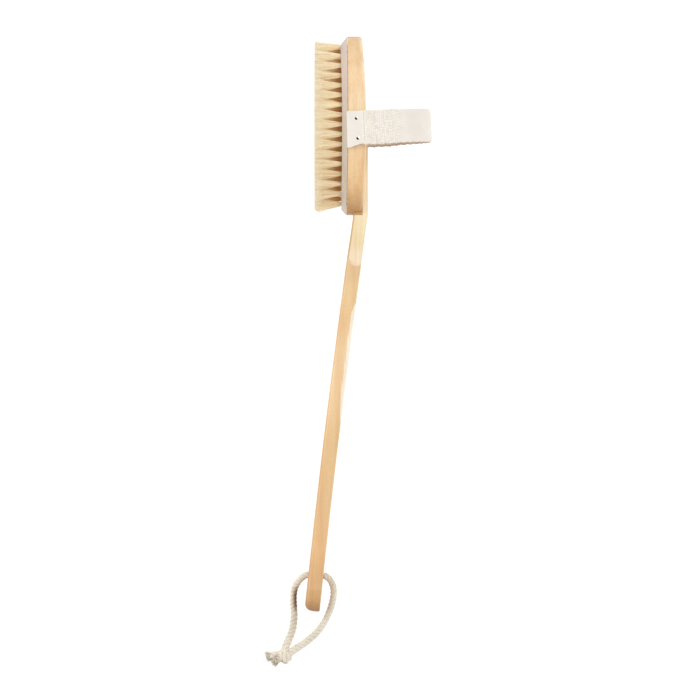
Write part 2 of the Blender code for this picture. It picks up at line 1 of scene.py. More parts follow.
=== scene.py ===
"""Looks of the body dry brush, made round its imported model.

Most pieces are made in the brush's own frame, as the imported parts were: X runs from the bristle
tips to the back of the head, Y from the handle's tip to the top of the head, and Z across the
head's width. The cord's pieces lie on the surface, so they are made in the row frame.
"""

import json
import math

import bmesh
import bpy
import numpy as np
from mathutils import Matrix, Vector


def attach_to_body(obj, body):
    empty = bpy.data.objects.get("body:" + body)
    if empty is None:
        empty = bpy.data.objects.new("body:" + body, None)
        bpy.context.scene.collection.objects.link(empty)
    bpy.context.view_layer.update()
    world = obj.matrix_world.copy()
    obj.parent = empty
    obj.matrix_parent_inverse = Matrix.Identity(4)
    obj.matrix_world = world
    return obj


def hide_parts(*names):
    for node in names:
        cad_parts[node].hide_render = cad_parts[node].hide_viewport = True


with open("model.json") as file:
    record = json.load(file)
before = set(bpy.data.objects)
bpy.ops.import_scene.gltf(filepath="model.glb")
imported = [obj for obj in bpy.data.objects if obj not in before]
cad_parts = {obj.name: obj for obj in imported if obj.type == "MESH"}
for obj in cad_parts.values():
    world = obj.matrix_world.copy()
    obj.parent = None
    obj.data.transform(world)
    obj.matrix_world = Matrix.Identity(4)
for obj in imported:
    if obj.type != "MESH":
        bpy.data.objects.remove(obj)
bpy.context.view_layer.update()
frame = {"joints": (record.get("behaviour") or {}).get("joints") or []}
MM = 0.001

# Head, in the brush's frame
HEAD_LENGTH = 132 * MM
HEAD_WIDTH = 66 * MM
OVAL_POWER = 2.3  # 2 is an ellipse, more is squarer
OUTLINE_POINTS = 200
JOINT_X = -1.1 * MM  # where the boards meet, at mid length
JOINT_BOWS = (1.3 * MM, 0.5 * MM)  # its bend towards the bristles, lower and upper end
FACE_X = -5.4 * MM  # face that the bristles come out of
FACE_BOWS = (0.8 * MM, 1.5 * MM)
BACK_X = 12.5 * MM  # top of the domed back
BACK_DROP = 3.5 * MM  # the dome's fall from mid length to the ends
BACK_CROWN = 0.8 * MM  # its fall from the middle to each side
BACK_ROUND = 1.8 * MM
CHAMFER = 4.1 * MM  # bevel all round the bristle board
TOP_CHAMFER = 2.0 * MM  # how much more of it there is at the top
TOP_FLAT = 0.99  # length of the upper half over that of the lower
CHAMFER_LIP = 0.1 * MM
GLUE_LINE = 0.2 * MM
LAND_WIDTH = 3.4 * MM  # glued rim of the cover board
WIRE_POCKET = 1.5 * MM  # room under it for the draw wires

# Bristles
ROW_COUNT = 17
ROW_PITCH = 7.2 * MM
TUFT_SPACING = 8.6 * MM  # across the head
FIELD_MARGIN = 7.5 * MM
FIELD_END_MARGIN = 2.5 * MM
TIP_X = -25.6 * MM
HOLE_RIM = 1.65 * MM
BRISTLES_PER_TUFT = 170
TUFT_ROOT_RADIUS = 1.25 * MM
TUFT_TIP_RADIUS = 4.4 * MM
TIP_STRETCH = (1.0, 1.22)  # a tuft's spread along and across the head
BRISTLE_RADIUS = 0.15 * MM
LOWER_TRIM_Y = -62.3 * MM  # bristles below it are cut shorter
LOWER_TRIM_SLOPE = 2.2

# Handle
TONGUE_TOP_Y = -4 * MM
TONGUE_FRONT_X = 5.8 * MM
TONGUE_BACK_X = 13.4 * MM
TONGUE_FRONT_HALF = 10.6 * MM
TONGUE_BACK_HALF = 9.0 * MM
SHOULDER_Y = -66.7 * MM
TIP_Y = -356.8 * MM
BEND_FROM_Y = -60 * MM
BEND_TO_Y = -74 * MM
BEND_START_X = 8.0 * MM
SLOPE_AT_BEND = 0.141
SLOPE_AT_TIP = 0.103
NECK_THICKNESS = 10.6 * MM
GRIP_THICKNESS = 11.1 * MM
NECK_HALF_WIDTH = 10.6 * MM
GRIP_HALF_WIDTH = 12.0 * MM
EDGE_ROUND = 2.6 * MM
TIP_CORNER = 8.0 * MM
TIP_EDGE = 1.4 * MM
TIP_FRONT_REACH = 5.2 * MM
TIP_FRONT_DEPTH = 5.5 * MM
NECK_END_X = 4.8 * MM
NECK_END_Y = -98.5 * MM
NECK_END_RADIUS = 5.05 * MM
COPE_TOP_Y = -61 * MM
HEAD_END_SHADE_BACK_X = 9.7 * MM
HOLE_Y = -330.4 * MM
HOLE_RADIUS = 3.3 * MM

# Strap, in its own frame on the head
STRAP_CENTRE = (5.5 * MM, -2.3 * MM)
STRAP_LEAN = math.radians(2.6)
STRAP_HALF_WIDTH = 12.5 * MM
STRAP_OUTER_Z = 36.5 * MM
STRAP_THICKNESS = 1.6 * MM
STRAP_TOP_X = 54.8 * MM
ARCH_ROUND = 2.6 * MM  # the bow's corners at its top
ARCH_PULL = 2.4 * MM
HEM_SKEW = 0.024  # lean of the folded ends' cut edge
HEM_START_X = -6.9 * MM
HEM_END_X = 6.2 * MM
SEAM_X = 5.2 * MM
SEAM_HALF_LENGTH = 11.2 * MM
WEAVE_START = 50 * MM  # from the weave's first thread to the strap's middle line
STITCH_COUNT = 12
STITCH_PITCH = 2 * SEAM_HALF_LENGTH / STITCH_COUNT
NAIL_X = 0.25 * MM
NAIL_Y = 7.3 * MM
NAIL_DROP = 0.9 * MM  # how far the pairs sit below the middle
NAIL_HEAD_RADIUS = 1.7 * MM
NAIL_HEAD_HEIGHT = 0.9 * MM
NAIL_SINK = 1.0 * MM

# Cord: offsets from the hole along row X and Y, and heights, in millimetres
CORD_RADIUS = 2.5 * MM
CORD_ROUTE = (
    (-22.0, -52.2, 4.0), (-20.4, -48.2, 3.0), (-18.2, -42.8, 2.6), (-16.8, -37.2, 2.55),
    (-16.1, -30.6, 2.6), (-16.3, -24.2, 3.2), (-16.6, -18.4, 4.6), (-16.4, -13.0, 6.6),
    (-15.0, -7.8, 9.0), (-11.8, -3.2, 11.4), (-7.8, -0.2, 12.9), (-3.8, 0.4, 13.3),
    (0.0, 0.1, 13.35), (3.8, -0.3, 13.3), (7.6, -1.1, 12.8), (10.8, -4.0, 11.0),
    (12.7, -8.4, 8.8), (13.1, -12.8, 6.7), (12.6, -17.4, 4.8), (11.4, -22.4, 3.4),
    (9.4, -27.8, 2.7), (6.8, -33.2, 2.55), (3.5, -38.4, 2.55), (-0.5, -43.0, 2.6),
    (-5.0, -47.0, 2.7), (-10.0, -50.8, 3.2), (-15.9, -54.8, 4.6),
)
FRAY_COUNT = 460  # loose fibres at each cut end
KNOT_OFFSET = (-22.3, -59.4)
KNOT_HEIGHT = 5.1 * MM
KNOT_SHIFT = np.array([-0.9 * MM, 0.1 * MM, 0.0])
TAILS = {  # places along each tail, from the knot's middle
    "cord_tail_long": ((-2.0, 0.6), (-5.0, 1.5), (-8.5, 1.4), (-11.4, 0.6)),
    "cord_tail_short": ((-2.0, -1.2), (-4.2, -1.8), (-5.9, -2.4), (-7.0, -3.2)),
}

# View, in the brush's own frame
VIEW_CENTRE = (0.37 * MM, -165.0 * MM)
VIEW_WIDTH = 514.5 * MM
VIEW_DISTANCE = 5.0
LIT_POINT = Vector((0, 0, 30 * MM))  # where the lights point, in the row frame

JOINTS = {joint["name"]: joint for joint in frame["joints"]}
HOLE = Vector(JOINTS["loop_swing"]["pos_m"])
SLIDE = Vector(JOINTS["handle_slide"]["axis"])


# ---------------------------------------- shape of the handle's line


def ease(share):
    share = np.clip(share, 0.0, 1.0)
    return share * share * (3 - 2 * share)


def circle(count):
    return 2 * np.pi * np.arange(count) / count


def slope_at(y):
    bend = ease((BEND_FROM_Y - y) / (BEND_FROM_Y - BEND_TO_Y))
    along = max(0.0, (BEND_TO_Y - y) / (BEND_TO_Y - TIP_Y))
    return float(bend * (SLOPE_AT_BEND + (SLOPE_AT_TIP - SLOPE_AT_BEND) * along))


def centre_x(y):
    steps = 200
    step = (BEND_FROM_Y - y) / steps
    return BEND_START_X - sum(
        slope_at(BEND_FROM_Y - (i + 0.5) * step) * step for i in range(steps)
    )


TILT = Matrix.Rotation(math.atan2(-SLIDE.z, -SLIDE.y), 4, "X")
HOLE_IN_BRUSH = Vector((centre_x(HOLE_Y), HOLE_Y, 0))
BRUSH = Matrix.Translation(HOLE - TILT @ HOLE_IN_BRUSH) @ TILT
STRAP = BRUSH @ Matrix.Translation((*STRAP_CENTRE, 0)) @ Matrix.Rotation(STRAP_LEAN, 4, "Z")


# ---------------------------------------- camera, light and floor


def camera():
    """Straight over the brush, square to the plane of its handle and bristles."""
    data = bpy.data.cameras.new("camera")
    data.lens = data.sensor_width * VIEW_DISTANCE / VIEW_WIDTH
    data.clip_end = 40
    made = bpy.data.objects.new("camera", data)
    bpy.context.scene.collection.objects.link(made)
    made.matrix_world = BRUSH @ Matrix.Translation((*VIEW_CENTRE, VIEW_DISTANCE))
    bpy.context.scene.camera = made


def light(name, place, size, power):
    data = bpy.data.lights.new(name, "AREA")
    data.size = size
    data.energy = power
    made = bpy.data.objects.new(name, data)
    bpy.context.scene.collection.objects.link(made)
    made.location = place
    made.rotation_mode = "QUATERNION"
    made.rotation_quaternion = (Vector(place) - LIT_POINT).to_track_quat("Z", "Y")


def studio():
    scene = bpy.context.scene
    scene.view_settings.view_transform = "Standard"
    world = bpy.data.worlds.new("studio")
    world.use_nodes = True
    world.node_tree.nodes["Background"].inputs["Color"].default_value = (1, 1, 1, 1)
    world.node_tree.nodes["Background"].inputs["Strength"].default_value = 0.78
    scene.world = world
    light("key", (1.3, 0.9, 1.5), 0.9, 10)
    light("fill", (-1.7, 0.3, 1.1), 1.6, 12)
    bpy.ops.mesh.primitive_plane_add(size=30, location=(0, 0, -0.1 * MM))
    floor = bpy.context.object
    floor.name = "floor"
    look = Look("pale_floor", 0.9, emission_color=(1, 1, 1, 1), emission_strength=0.9)
    look.paint(rgb(140, 140, 140))
    floor.data.materials.append(look.material)


# ---------------------------------------- materials


def rgb(*channels):
    """sRGB channels from 0 to 255 as the linear colour that a shader takes."""
    parts = [c / 255 for c in channels]
    linear = [c / 12.92 if c <= 0.04045 else ((c + 0.055) / 1.055) ** 2.4 for c in parts]
    return (*linear, 1.0)


class Look:
    """A Principled material, built up a node at a time. Places are the piece's own, in metres."""

    def __init__(self, name, roughness, **fixed):
        self.material = bpy.data.materials.new(name)
        self.material.use_nodes = True
        self.tree = self.material.node_tree
        self.shader = self.tree.nodes["Principled BSDF"]
        self.shader.inputs["Roughness"].default_value = roughness
        for socket, value in fixed.items():
            self.shader.inputs[socket.replace("_", " ").title()].default_value = value
        self.place = self.node("ShaderNodeTexCoord").outputs["Object"]

    def node(self, kind, inputs=(), **settings):
        made = self.tree.nodes.new(kind)
        for key, value in settings.items():
            setattr(made, key, value)
        for key, value in dict(inputs).items():
            if isinstance(value, bpy.types.NodeSocket):
                self.tree.links.new(value, made.inputs[key])
            else:
                made.inputs[key].default_value = value
        return made

    def calc(self, operation, a, b=0.0):
        return self.node("ShaderNodeMath", {0: a, 1: b}, operation=operation).outputs[0]

    def between(self, value, low, high, to_low=0.0, to_high=1.0):
        """value, stretched smoothly from low..high to to_low..to_high, and held outside."""
        sockets = {0: value, 1: low, 2: high, 3: to_low, 4: to_high}
        made = self.node("ShaderNodeMapRange", sockets, interpolation_type="SMOOTHSTEP")
        return made.outputs[0]

    def axis(self, name):
        return self.node("ShaderNodeSeparateXYZ", {0: self.place}).outputs[name]

    def attribute(self, name):
        return self.node("ShaderNodeAttribute", attribute_name=name).outputs["Fac"]

    def noise(self, per_mm, detail=2.0, roughness=0.5, distortion=0.0):
        """Noise with that many cells a millimetre along each axis."""
        scale = [count / MM for count in per_mm]
        sockets = {0: self.place, 1: scale}
        stretched = self.node("ShaderNodeVectorMath", sockets, operation="MULTIPLY")
        sockets = {"Vector": stretched.outputs[0], "Scale": 1.0, "Detail": detail}
        sockets.update({"Roughness": roughness, "Distortion": distortion})
        return self.node("ShaderNodeTexNoise", sockets).outputs["Fac"]

    def ramp(self, factor, stops):
        made = self.node("ShaderNodeValToRGB", {0: factor})
        while len(made.color_ramp.elements) < len(stops):
            made.color_ramp.elements.new(0.5)
        for element, (place, colour) in zip(made.color_ramp.elements, stops):
            element.position = place
            element.color = colour
        return made.outputs["Color"]

    def mix(self, factor, a, b, blend="MIX"):
        sockets = {0: factor, 6: a, 7: b}
        made = self.node("ShaderNodeMix", sockets, data_type="RGBA", blend_type=blend)
        return made.outputs[2]

    def paint(self, colour):
        if isinstance(colour, bpy.types.NodeSocket):
            self.tree.links.new(colour, self.shader.inputs["Base Color"])
        else:
            self.shader.inputs["Base Color"].default_value = colour

    def rough(self, value):
        self.tree.links.new(value, self.shader.inputs["Roughness"])

    def bump(self, height, distance, strength=1.0):
        sockets = {"Height": height, "Distance": distance, "Strength": strength}
        if self.shader.inputs["Normal"].is_linked:
            sockets["Normal"] = self.shader.inputs["Normal"].links[0].from_socket
        made = self.node("ShaderNodeBump", sockets)
        self.tree.links.new(made.outputs[0], self.shader.inputs["Normal"])


def along_y(look, stops):
    """A colour that changes along the brush: stops are (y in millimetres, colour)."""
    low, high = stops[0][0], stops[-1][0]
    y = look.axis("Y")
    share = look.node("ShaderNodeMapRange", {0: y, 1: low * MM, 2: high * MM}).outputs[0]
    return look.ramp(share, [((at - low) / (high - low), colour) for at, colour in stops])


def wood_grain(look, colour, contrast=1.0):
    """Beech: fine lines and broader bands along Y, with short dark flecks."""
    bands = look.noise((0.22, 0.006, 0.22), 2, 0.5, 0.1)
    lines = look.noise((2.2, 0.05, 2.2), 3, 0.6, 0.3)
    flecks = look.noise((3.4, 0.35, 3.4), 1, 0.4)
    dark = look.mix(1.0, colour, rgb(230, 200, 160), "MULTIPLY")
    toned = look.mix(look.between(bands, 0.35, 0.72, 0, 0.55 * contrast), colour, dark)
    lined = look.mix(look.between(lines, 0.42, 0.75, 0, 0.5 * contrast), toned, dark)
    fleck = look.mix(1.0, lined, rgb(190, 140, 95), "MULTIPLY")
    look.paint(look.mix(look.between(flecks, 0.66, 0.74, 0, 0.45 * contrast), lined, fleck))
    look.rough(look.between(lines, 0.3, 0.8, 0.36, 0.5))
    look.bump(lines, 0.05 * MM, 0.5)
    look.bump(flecks, 0.03 * MM, 0.3)


def head_wood():
    look = Look("head_wood", 0.42, coat_weight=0.12, coat_roughness=0.3)
    x, y = look.axis("X"), look.axis("Y")
    bow = look.calc("MULTIPLY", look.calc("MULTIPLY", y, y), BACK_DROP / (HEAD_LENGTH / 2) ** 2)
    # painted highlight: the domed back's rounded rim is made paler, most strongly from the middle
    # upwards
    rim_highlight = look.between(look.calc("ADD", x, bow), BACK_X - 2.6 * MM, BACK_X - 1.2 * MM, 0, 0.5)
    rim_highlight = look.calc("MULTIPLY", rim_highlight, look.between(y, -25 * MM, 15 * MM, 0.15, 1))
    # darker towards both ends of the head: painted shade where the oval's ends curve away from the
    # light
    side = along_y(look, (
        (-66, rgb(190, 145, 94)), (-57, rgb(208, 166, 112)), (-45, rgb(239, 203, 154)),
        (-25, rgb(243, 209, 162)), (12, rgb(246, 221, 181)), (35, rgb(247, 215, 173)),
        (60, rgb(230, 198, 153)), (63.4, rgb(226, 194, 149)), (64.2, rgb(202, 170, 126)),
        (65.4, rgb(190, 156, 112)),
    ))
    wood_grain(look, look.mix(rim_highlight, side, rgb(255, 238, 208)), 0.8)
    return look.material


def board_wood():
    look = Look("bristle_board_wood", 0.6)
    wood_grain(look, along_y(look, (
        (-66, rgb(199, 186, 171)), (-40, rgb(202, 189, 175)), (0, rgb(207, 197, 184)),
        (48, rgb(215, 199, 191)), (56, rgb(206, 190, 182)), (66, rgb(196, 182, 172)),
    )), 0.3)
    return look.material


def neck_mask(look):
    """1 on the milled neck and 0 on the grip below its arc-shaped end."""
    x, y = look.axis("X"), look.axis("Y")
    off_x, off_y = look.calc("SUBTRACT", x, NECK_END_X), look.calc("SUBTRACT", y, NECK_END_Y)
    below = look.calc("MINIMUM", off_y, 0.0)
    squares = look.calc("MULTIPLY", off_x, off_x), look.calc("MULTIPLY", below, below)
    within = look.calc("SUBTRACT", NECK_END_RADIUS, look.calc("SQRT", look.calc("ADD", *squares)))
    soft = 0.15 * MM
    return look.calc("MAXIMUM", look.between(within, -soft, soft), look.between(off_y, -soft, soft))


def handle_wood():
    look = Look("handle_wood", 0.42, coat_weight=0.12, coat_roughness=0.3)
    # painted shade along the handle's front edge
    edge = look.between(look.attribute("across"), -0.7, -0.98, 0, 0.55)
    # the grip darkens towards its tip: painted shade where the rounded end turns away from the
    # light
    grip = along_y(look, (
        (-357, rgb(150, 98, 52)), (-354, rgb(184, 138, 88)), (-347, rgb(210, 166, 112)),
        (-341.5, rgb(216, 172, 120)), (-340.5, rgb(224, 182, 132)), (-331, rgb(224, 182, 132)),
        (-312, rgb(238, 196, 144)), (-279, rgb(232, 194, 144)), (-234, rgb(232, 194, 142)),
        (-199, rgb(244, 210, 164)), (-164, rgb(244, 215, 172)), (-146, rgb(238, 200, 150)),
        (-120, rgb(237, 204, 154)), (-111, rgb(229, 196, 148)), (-99, rgb(229, 196, 149)),
    ))
    # a paler streak along one back corner of the grip
    pale = look.mix(sliver(look), grip, rgb(255, 244, 224))
    neck = along_y(look, (
        (-100, rgb(250, 232, 204)), (-94, rgb(248, 230, 199)), (-87, rgb(242, 222, 181)),
        (-80, rgb(245, 227, 187)), (-68, rgb(251, 236, 199)),
    ))
    # painted shade: thin darker lines along the neck's front and back edges
    front_edge_shade = look.between(look.attribute("across"), -0.7, -0.82, 0, 0.85)
    back_edge_shade = look.between(look.attribute("across"), 0.8, 0.95, 0, 0.3)
    line = look.calc("ADD", front_edge_shade, back_edge_shade)
    neck = look.mix(line, neck, look.mix(1.0, neck, rgb(226, 214, 194), "MULTIPLY"))
    colour = look.mix(neck_mask(look), pale, neck)
    # painted shade: the colour of the head's shaded lower end, on the neck's top just under the
    # head
    head_end_shade = along_y(look, ((-66, rgb(196, 151, 99)), (-60, rgb(214, 173, 118))))
    covered = look.calc("LESS_THAN", look.axis("X"), HEAD_END_SHADE_BACK_X)
    inset = look.calc("MULTIPLY", covered, look.between(look.axis("Y"), -66.2 * MM, -65.9 * MM))
    toned = look.mix(edge, colour, look.mix(1.0, colour, rgb(224, 202, 176), "MULTIPLY"))
    wood_grain(look, look.mix(inset, toned, head_end_shade), 0.55)
    return look.material


def sliver(look):
    """A paler streak along one back corner of the grip's upper half."""
    across, y, z = look.attribute("across"), look.axis("Y"), look.axis("Z")
    wander = look.calc("SUBTRACT", look.noise((0.06, 0.01, 0.06), 1), 0.5)
    grain = look.calc("SUBTRACT", look.noise((0.9, 0.012, 0.9), 2), 0.5)
    far_side = look.between(z, GRIP_HALF_WIDTH - 0.5 * MM, GRIP_HALF_WIDTH - 7 * MM, 0.0, 0.9)
    lower_end = look.between(y, -200 * MM, -240 * MM)
    ends = look.calc("ADD", lower_end, look.between(y, -140 * MM, -122 * MM))
    depth = look.calc("SUBTRACT", look.calc("SUBTRACT", across, far_side), ends)
    wander = look.calc("MULTIPLY", wander, 0.5)
    rough_edge = look.calc("ADD", wander, look.calc("MULTIPLY", grain, 0.6))
    return look.between(look.calc("ADD", depth, rough_edge), 0.4, 0.6, 0.0, 0.95)


def bristle_look():
    look = Look("bristle", 0.55, sheen_weight=0.1)
    tint, along, inner = look.attribute("tint"), look.attribute("along"), look.attribute("inner")
    fibre = look.ramp(tint, (
        (0.0, rgb(196, 150, 92)), (0.06, rgb(234, 208, 164)), (0.4, rgb(248, 234, 204)),
        (0.8, rgb(254, 244, 222)), (1.0, rgb(255, 251, 240)),
    ))
    # painted shade: the inner tufts darken and brown towards their roots
    root = look.calc("MULTIPLY", inner, look.between(along, 0.84, 0.22))
    streaks = look.noise((1.5, 6, 6), 2)
    shaded = look.mix(root, fibre, look.mix(1.0, fibre, rgb(212, 160, 92), "MULTIPLY"))
    look.paint(look.mix(look.between(streaks, 0.45, 0.8, 0, 0.35), shaded, rgb(226, 196, 146)))
    # painted light: the bristles glow, standing in for light passing through them; less at the
    # roots
    lit = look.ramp(along, (
        (0.2, rgb(36, 26, 12)), (0.27, rgb(76, 60, 34)), (0.34, rgb(104, 88, 58)),
        (0.45, rgb(114, 101, 74)), (0.7, rgb(112, 105, 84)), (0.88, rgb(98, 92, 76)),
        (1.0, rgb(76, 74, 67)),
    ))
    dimmed = look.mix(1.0, lit, rgb(232, 222, 208), "MULTIPLY")
    # the glow is weaker over the lower half of the head
    lower_glow_dimmed = look.mix(look.between(look.axis("Y"), 10 * MM, -50 * MM), lit, dimmed)
    # inner roots glow least: painted shade
    glow = look.mix(root, lower_glow_dimmed, rgb(60, 42, 18))
    look.tree.links.new(glow, look.shader.inputs["Emission Color"])
    look.shader.inputs["Emission Strength"].default_value = 1.0
    return look.material


def cotton(name, pale, shade, per_mm, fuzz=0.12, marked=None, dark=0.5):
    """Undyed cotton: soft mottling, painted shade between the threads, and a fibrous bump."""
    look = Look(name, 0.9, sheen_weight=0.25, sheen_roughness=0.5)
    mottle = look.noise((0.09, 0.09, 0.09), 2)
    fibres = look.noise(per_mm, 3, 0.65)
    tone = look.mix(look.between(mottle, 0.35, 0.7), pale, shade)
    # marked mixes a colour in by an attribute: on the strap and cord it carries painted shade, and
    # on the strap the folded ends' tint too
    if marked:
        tone = look.mix(look.attribute(marked[0]), tone, marked[1])
    crevice_shade = look.between(look.attribute("relief"), 0.0, 0.75, dark, 0.0)
    look.paint(look.mix(crevice_shade, tone, look.mix(1.0, tone, rgb(214, 196, 168), "MULTIPLY")))
    look.bump(fibres, fuzz * MM, 0.6)
    return look.material


def nail_steel():
    look = Look("nail_steel", 0.18, metallic=1.0)
    # painted highlight at the upper right of each head and painted shade at the lower left, broken
    # up by noise
    glint_noise = look.calc("MULTIPLY", look.noise((1.5, 1.5, 1.5), 3), 0.3)
    glint = look.between(look.calc("ADD", look.attribute("glint_side"), glint_noise), 0.2, 0.7)
    look.paint(look.mix(glint, rgb(58, 52, 54), rgb(250, 250, 252)))
    look.rough(look.between(glint, 0, 1, 0.34, 0.14))
    return look.material


# ---------------------------------------- mesh helpers


def tubes(rings):
    """(points, faces) of closed tubes: rings is an array (tubes, rings, points round, 3)."""
    count, length, around, _ = rings.shape
    j = np.arange(around)
    start = (np.arange(count)[:, None] * length + np.arange(length - 1)[None, :]) * around
    a = start[..., None] + j
    b = start[..., None] + (j + 1) % around
    quads = np.stack([a, b, b + around, a + around], -1).reshape(-1, 4)
    faces = quads.tolist()
    first = (np.arange(count) * length * around)[:, None]
    last = first + (length - 1) * around
    faces += (first + j[::-1]).tolist() + (last + j).tolist()
    points = rings.reshape(-1, 3)
    corners = points[quads]
    middle = corners[:, 0] - points.mean(0)
    normal = np.cross(corners[:, 2] - corners[:, 0], corners[:, 3] - corners[:, 1])
    if (middle * normal).sum() < 0:
        faces = [face[::-1] for face in faces]
    return points, faces


def mesh_object(name, points, faces, look=None, place=BRUSH):
    mesh = bpy.data.meshes.new(name)
    mesh.from_pydata(points.tolist() if hasattr(points, "tolist") else points, [], faces)
    if look:
        mesh.materials.append(look)
    made = bpy.data.objects.new(name, mesh)
    bpy.context.scene.collection.objects.link(made)
    made.matrix_world = place
    mesh.shade_smooth()
    return made


def attach(obj, body, slot, *nodes):
    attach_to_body(obj, body)
    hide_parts(*nodes)
    return obj


def attribute(obj, name, values):
    layer = obj.data.attributes.new(name, "FLOAT", "POINT")
    layer.data.foreach_set("value", np.ascontiguousarray(values, dtype=np.float32).ravel())


def loft(name, rings, look):
    """A closed body through rings of points, its ends shut by a small flat face."""
    points, faces = tubes(np.array(rings)[None])
    return mesh_object(name, points, faces, look)


def prism(name, outline, low, high, place):
    """A straight body: outline's points, put into space by place(a, b, along), at both ends."""
    rings = [[place(a, b, along) for a, b in outline] for along in (low, high)]
    points, faces = tubes(np.array(rings)[None])
    made = mesh_object(name, points, faces)
    face_out(made)
    return made


def face_out(obj):
    bm = bmesh.new()
    bm.from_mesh(obj.data)
    bmesh.ops.recalc_face_normals(bm, faces=bm.faces)
    bm.to_mesh(obj.data)
    bm.free()


def combine(obj, other, operation):
    """Applies a Boolean with another object, which is then removed."""
    modifier = obj.modifiers.new(operation, "BOOLEAN")
    modifier.operation = operation
    modifier.object = other
    graph = bpy.context.evaluated_depsgraph_get()
    mesh = bpy.data.meshes.new_from_object(obj.evaluated_get(graph), depsgraph=graph)
    obj.modifiers.clear()
    obj.data = mesh
    bpy.data.objects.remove(other, do_unlink=True)


def shade(obj, degrees=32):
    obj.data.shade_smooth()
    obj.data.set_sharp_from_angle(angle=math.radians(degrees))


# ---------------------------------------- head


def half_width_at(y):
    share = min(1.0, abs(y) / (HEAD_LENGTH / 2))
    return HEAD_WIDTH / 2 * (1 - share**OVAL_POWER) ** (1 / OVAL_POWER)


def oval(inset=0.0, scale=1.0):
    """(y, z) arrays of the head's outline, moved inwards along its normal and scaled."""
    a, b = HEAD_LENGTH / 2, HEAD_WIDTH / 2
    turn = 2 * np.pi * (np.arange(OUTLINE_POINTS) + 0.5) / OUTLINE_POINTS
    c, s = np.cos(turn), np.sin(turn)
    y = a * np.sign(c) * np.abs(c) ** (2 / OVAL_POWER)
    z = b * np.sign(s) * np.abs(s) ** (2 / OVAL_POWER)
    normal_y = np.sign(y) * np.abs(y / a) ** (OVAL_POWER - 1) / a
    normal_z = np.sign(z) * np.abs(z / b) ** (OVAL_POWER - 1) / b
    size = np.hypot(normal_y, normal_z)
    y, z = (y - inset * normal_y / size) * scale, (z - inset * normal_z / size) * scale
    return np.where(y > 0, y * TOP_FLAT, y), z


def end_share(y):
    return (y / (HEAD_LENGTH / 2)) ** 2


def joint_x(y):
    return JOINT_X - np.where(y > 0, JOINT_BOWS[1], JOINT_BOWS[0]) * end_share(y)


def face_x(y):
    return FACE_X - np.where(y > 0, FACE_BOWS[1], FACE_BOWS[0]) * end_share(y)


def back_x(y, z):
    return BACK_X - BACK_DROP * end_share(y) - BACK_CROWN * (z / (HEAD_WIDTH / 2)) ** 2


def raised(surface, by=0.0):
    """A surface x(y), raised towards the back, in the form that ring_at takes."""
    return lambda y, z: surface(y) + by


def ring_at(height, inset=0.0, scale=1.0):
    """A ring in the form of the head's outline on the surface x = height(y, z)."""
    y, z = oval(inset, scale)
    return np.stack([height(y, z), y, z], -1)


def bristle_board():
    back, lip = raised(joint_x, -GLUE_LINE / 2), raised(joint_x, -GLUE_LINE / 2 - CHAMFER_LIP)
    soft, face = raised(face_x, 0.12 * MM), raised(face_x)
    rings = [ring_at(back, scale=s) for s in (0.01, 0.35, 0.7)]
    rings += [ring_at(back, 0.15 * MM), ring_at(lip)]
    bevelled = [ring_at(soft, CHAMFER - 0.1 * MM), ring_at(face, CHAMFER + 0.15 * MM)]
    bevelled += [ring_at(face, CHAMFER, s) for s in (0.9, 0.7, 0.35, 0.01)]
    for ring in bevelled:  # the bevel is larger round the top
        ring[:, 1] -= TOP_CHAMFER * ease((ring[:, 1] - 35 * MM) / (27 * MM))
    rings += bevelled
    board = loft("bristle_board_shell", rings, board_wood())
    face_out(board)
    combine(board, tuft_holes(), "DIFFERENCE")
    shade(board)
    attach(board, "head", "bristle_board", "bristle_board")


def tuft_holes():
    turn = circle(16)
    drilled = []
    for row in range(ROW_COUNT):
        for y, z in tufts_of_row(row):
            rim_y, rim_z = y + HOLE_RIM * np.cos(turn), z + HOLE_RIM * np.sin(turn)
            ends = JOINT_X - 8 * MM, JOINT_X + 3 * MM
            drilled.append([np.stack([np.full(16, x), rim_y, rim_z], -1) for x in ends])
    points, faces = tubes(np.array(drilled))
    cutter = mesh_object("tuft_holes", points, faces)
    face_out(cutter)
    return cutter


def cover_board():
    glue_face, pocket = raised(joint_x, GLUE_LINE / 2), raised(joint_x, WIRE_POCKET)
    rings = [ring_at(pocket, LAND_WIDTH, s) for s in (0.01, 0.35, 0.7, 1.0)]
    rings += [ring_at(glue_face, LAND_WIDTH), ring_at(glue_face, 0.15 * MM)]
    rings.append(ring_at(raised(joint_x, GLUE_LINE / 2 + 0.15 * MM)))
    for step in range(9):
        turn = math.pi / 2 * step / 8
        fall = BACK_ROUND * (1 - math.sin(turn))
        rings.append(ring_at(lambda y, z: back_x(y, z) - fall, BACK_ROUND * (1 - math.cos(turn))))
    rings += [ring_at(back_x, BACK_ROUND, s) for s in (0.9, 0.75, 0.6, 0.45, 0.3, 0.15, 0.01)]
    board = loft("cover_board_shell", rings, head_wood())
    face_out(board)
    combine(board, tongue_slot(), "DIFFERENCE")
    shade(board)
    attach(board, "head", "head_wood", "cover_board")


def tongue_slot():
    """Cutter for the dovetail slot, a little wider than the tongue all round and open behind."""
    spare, rise = 0.1 * MM, 4 * MM
    lean = (TONGUE_FRONT_HALF - TONGUE_BACK_HALF) / (TONGUE_BACK_X - TONGUE_FRONT_X)
    inner, outer = TONGUE_FRONT_HALF + spare, TONGUE_BACK_HALF + spare - lean * rise
    front, back = TONGUE_FRONT_X - spare, TONGUE_BACK_X + rise
    outline = [(front, -inner), (back, -outer), (back, outer), (front, inner)]
    low, high = SHOULDER_Y - 2 * MM, TONGUE_TOP_Y + spare
    return prism("tongue_slot", outline, low, high, lambda a, b, s: (a, s, b))


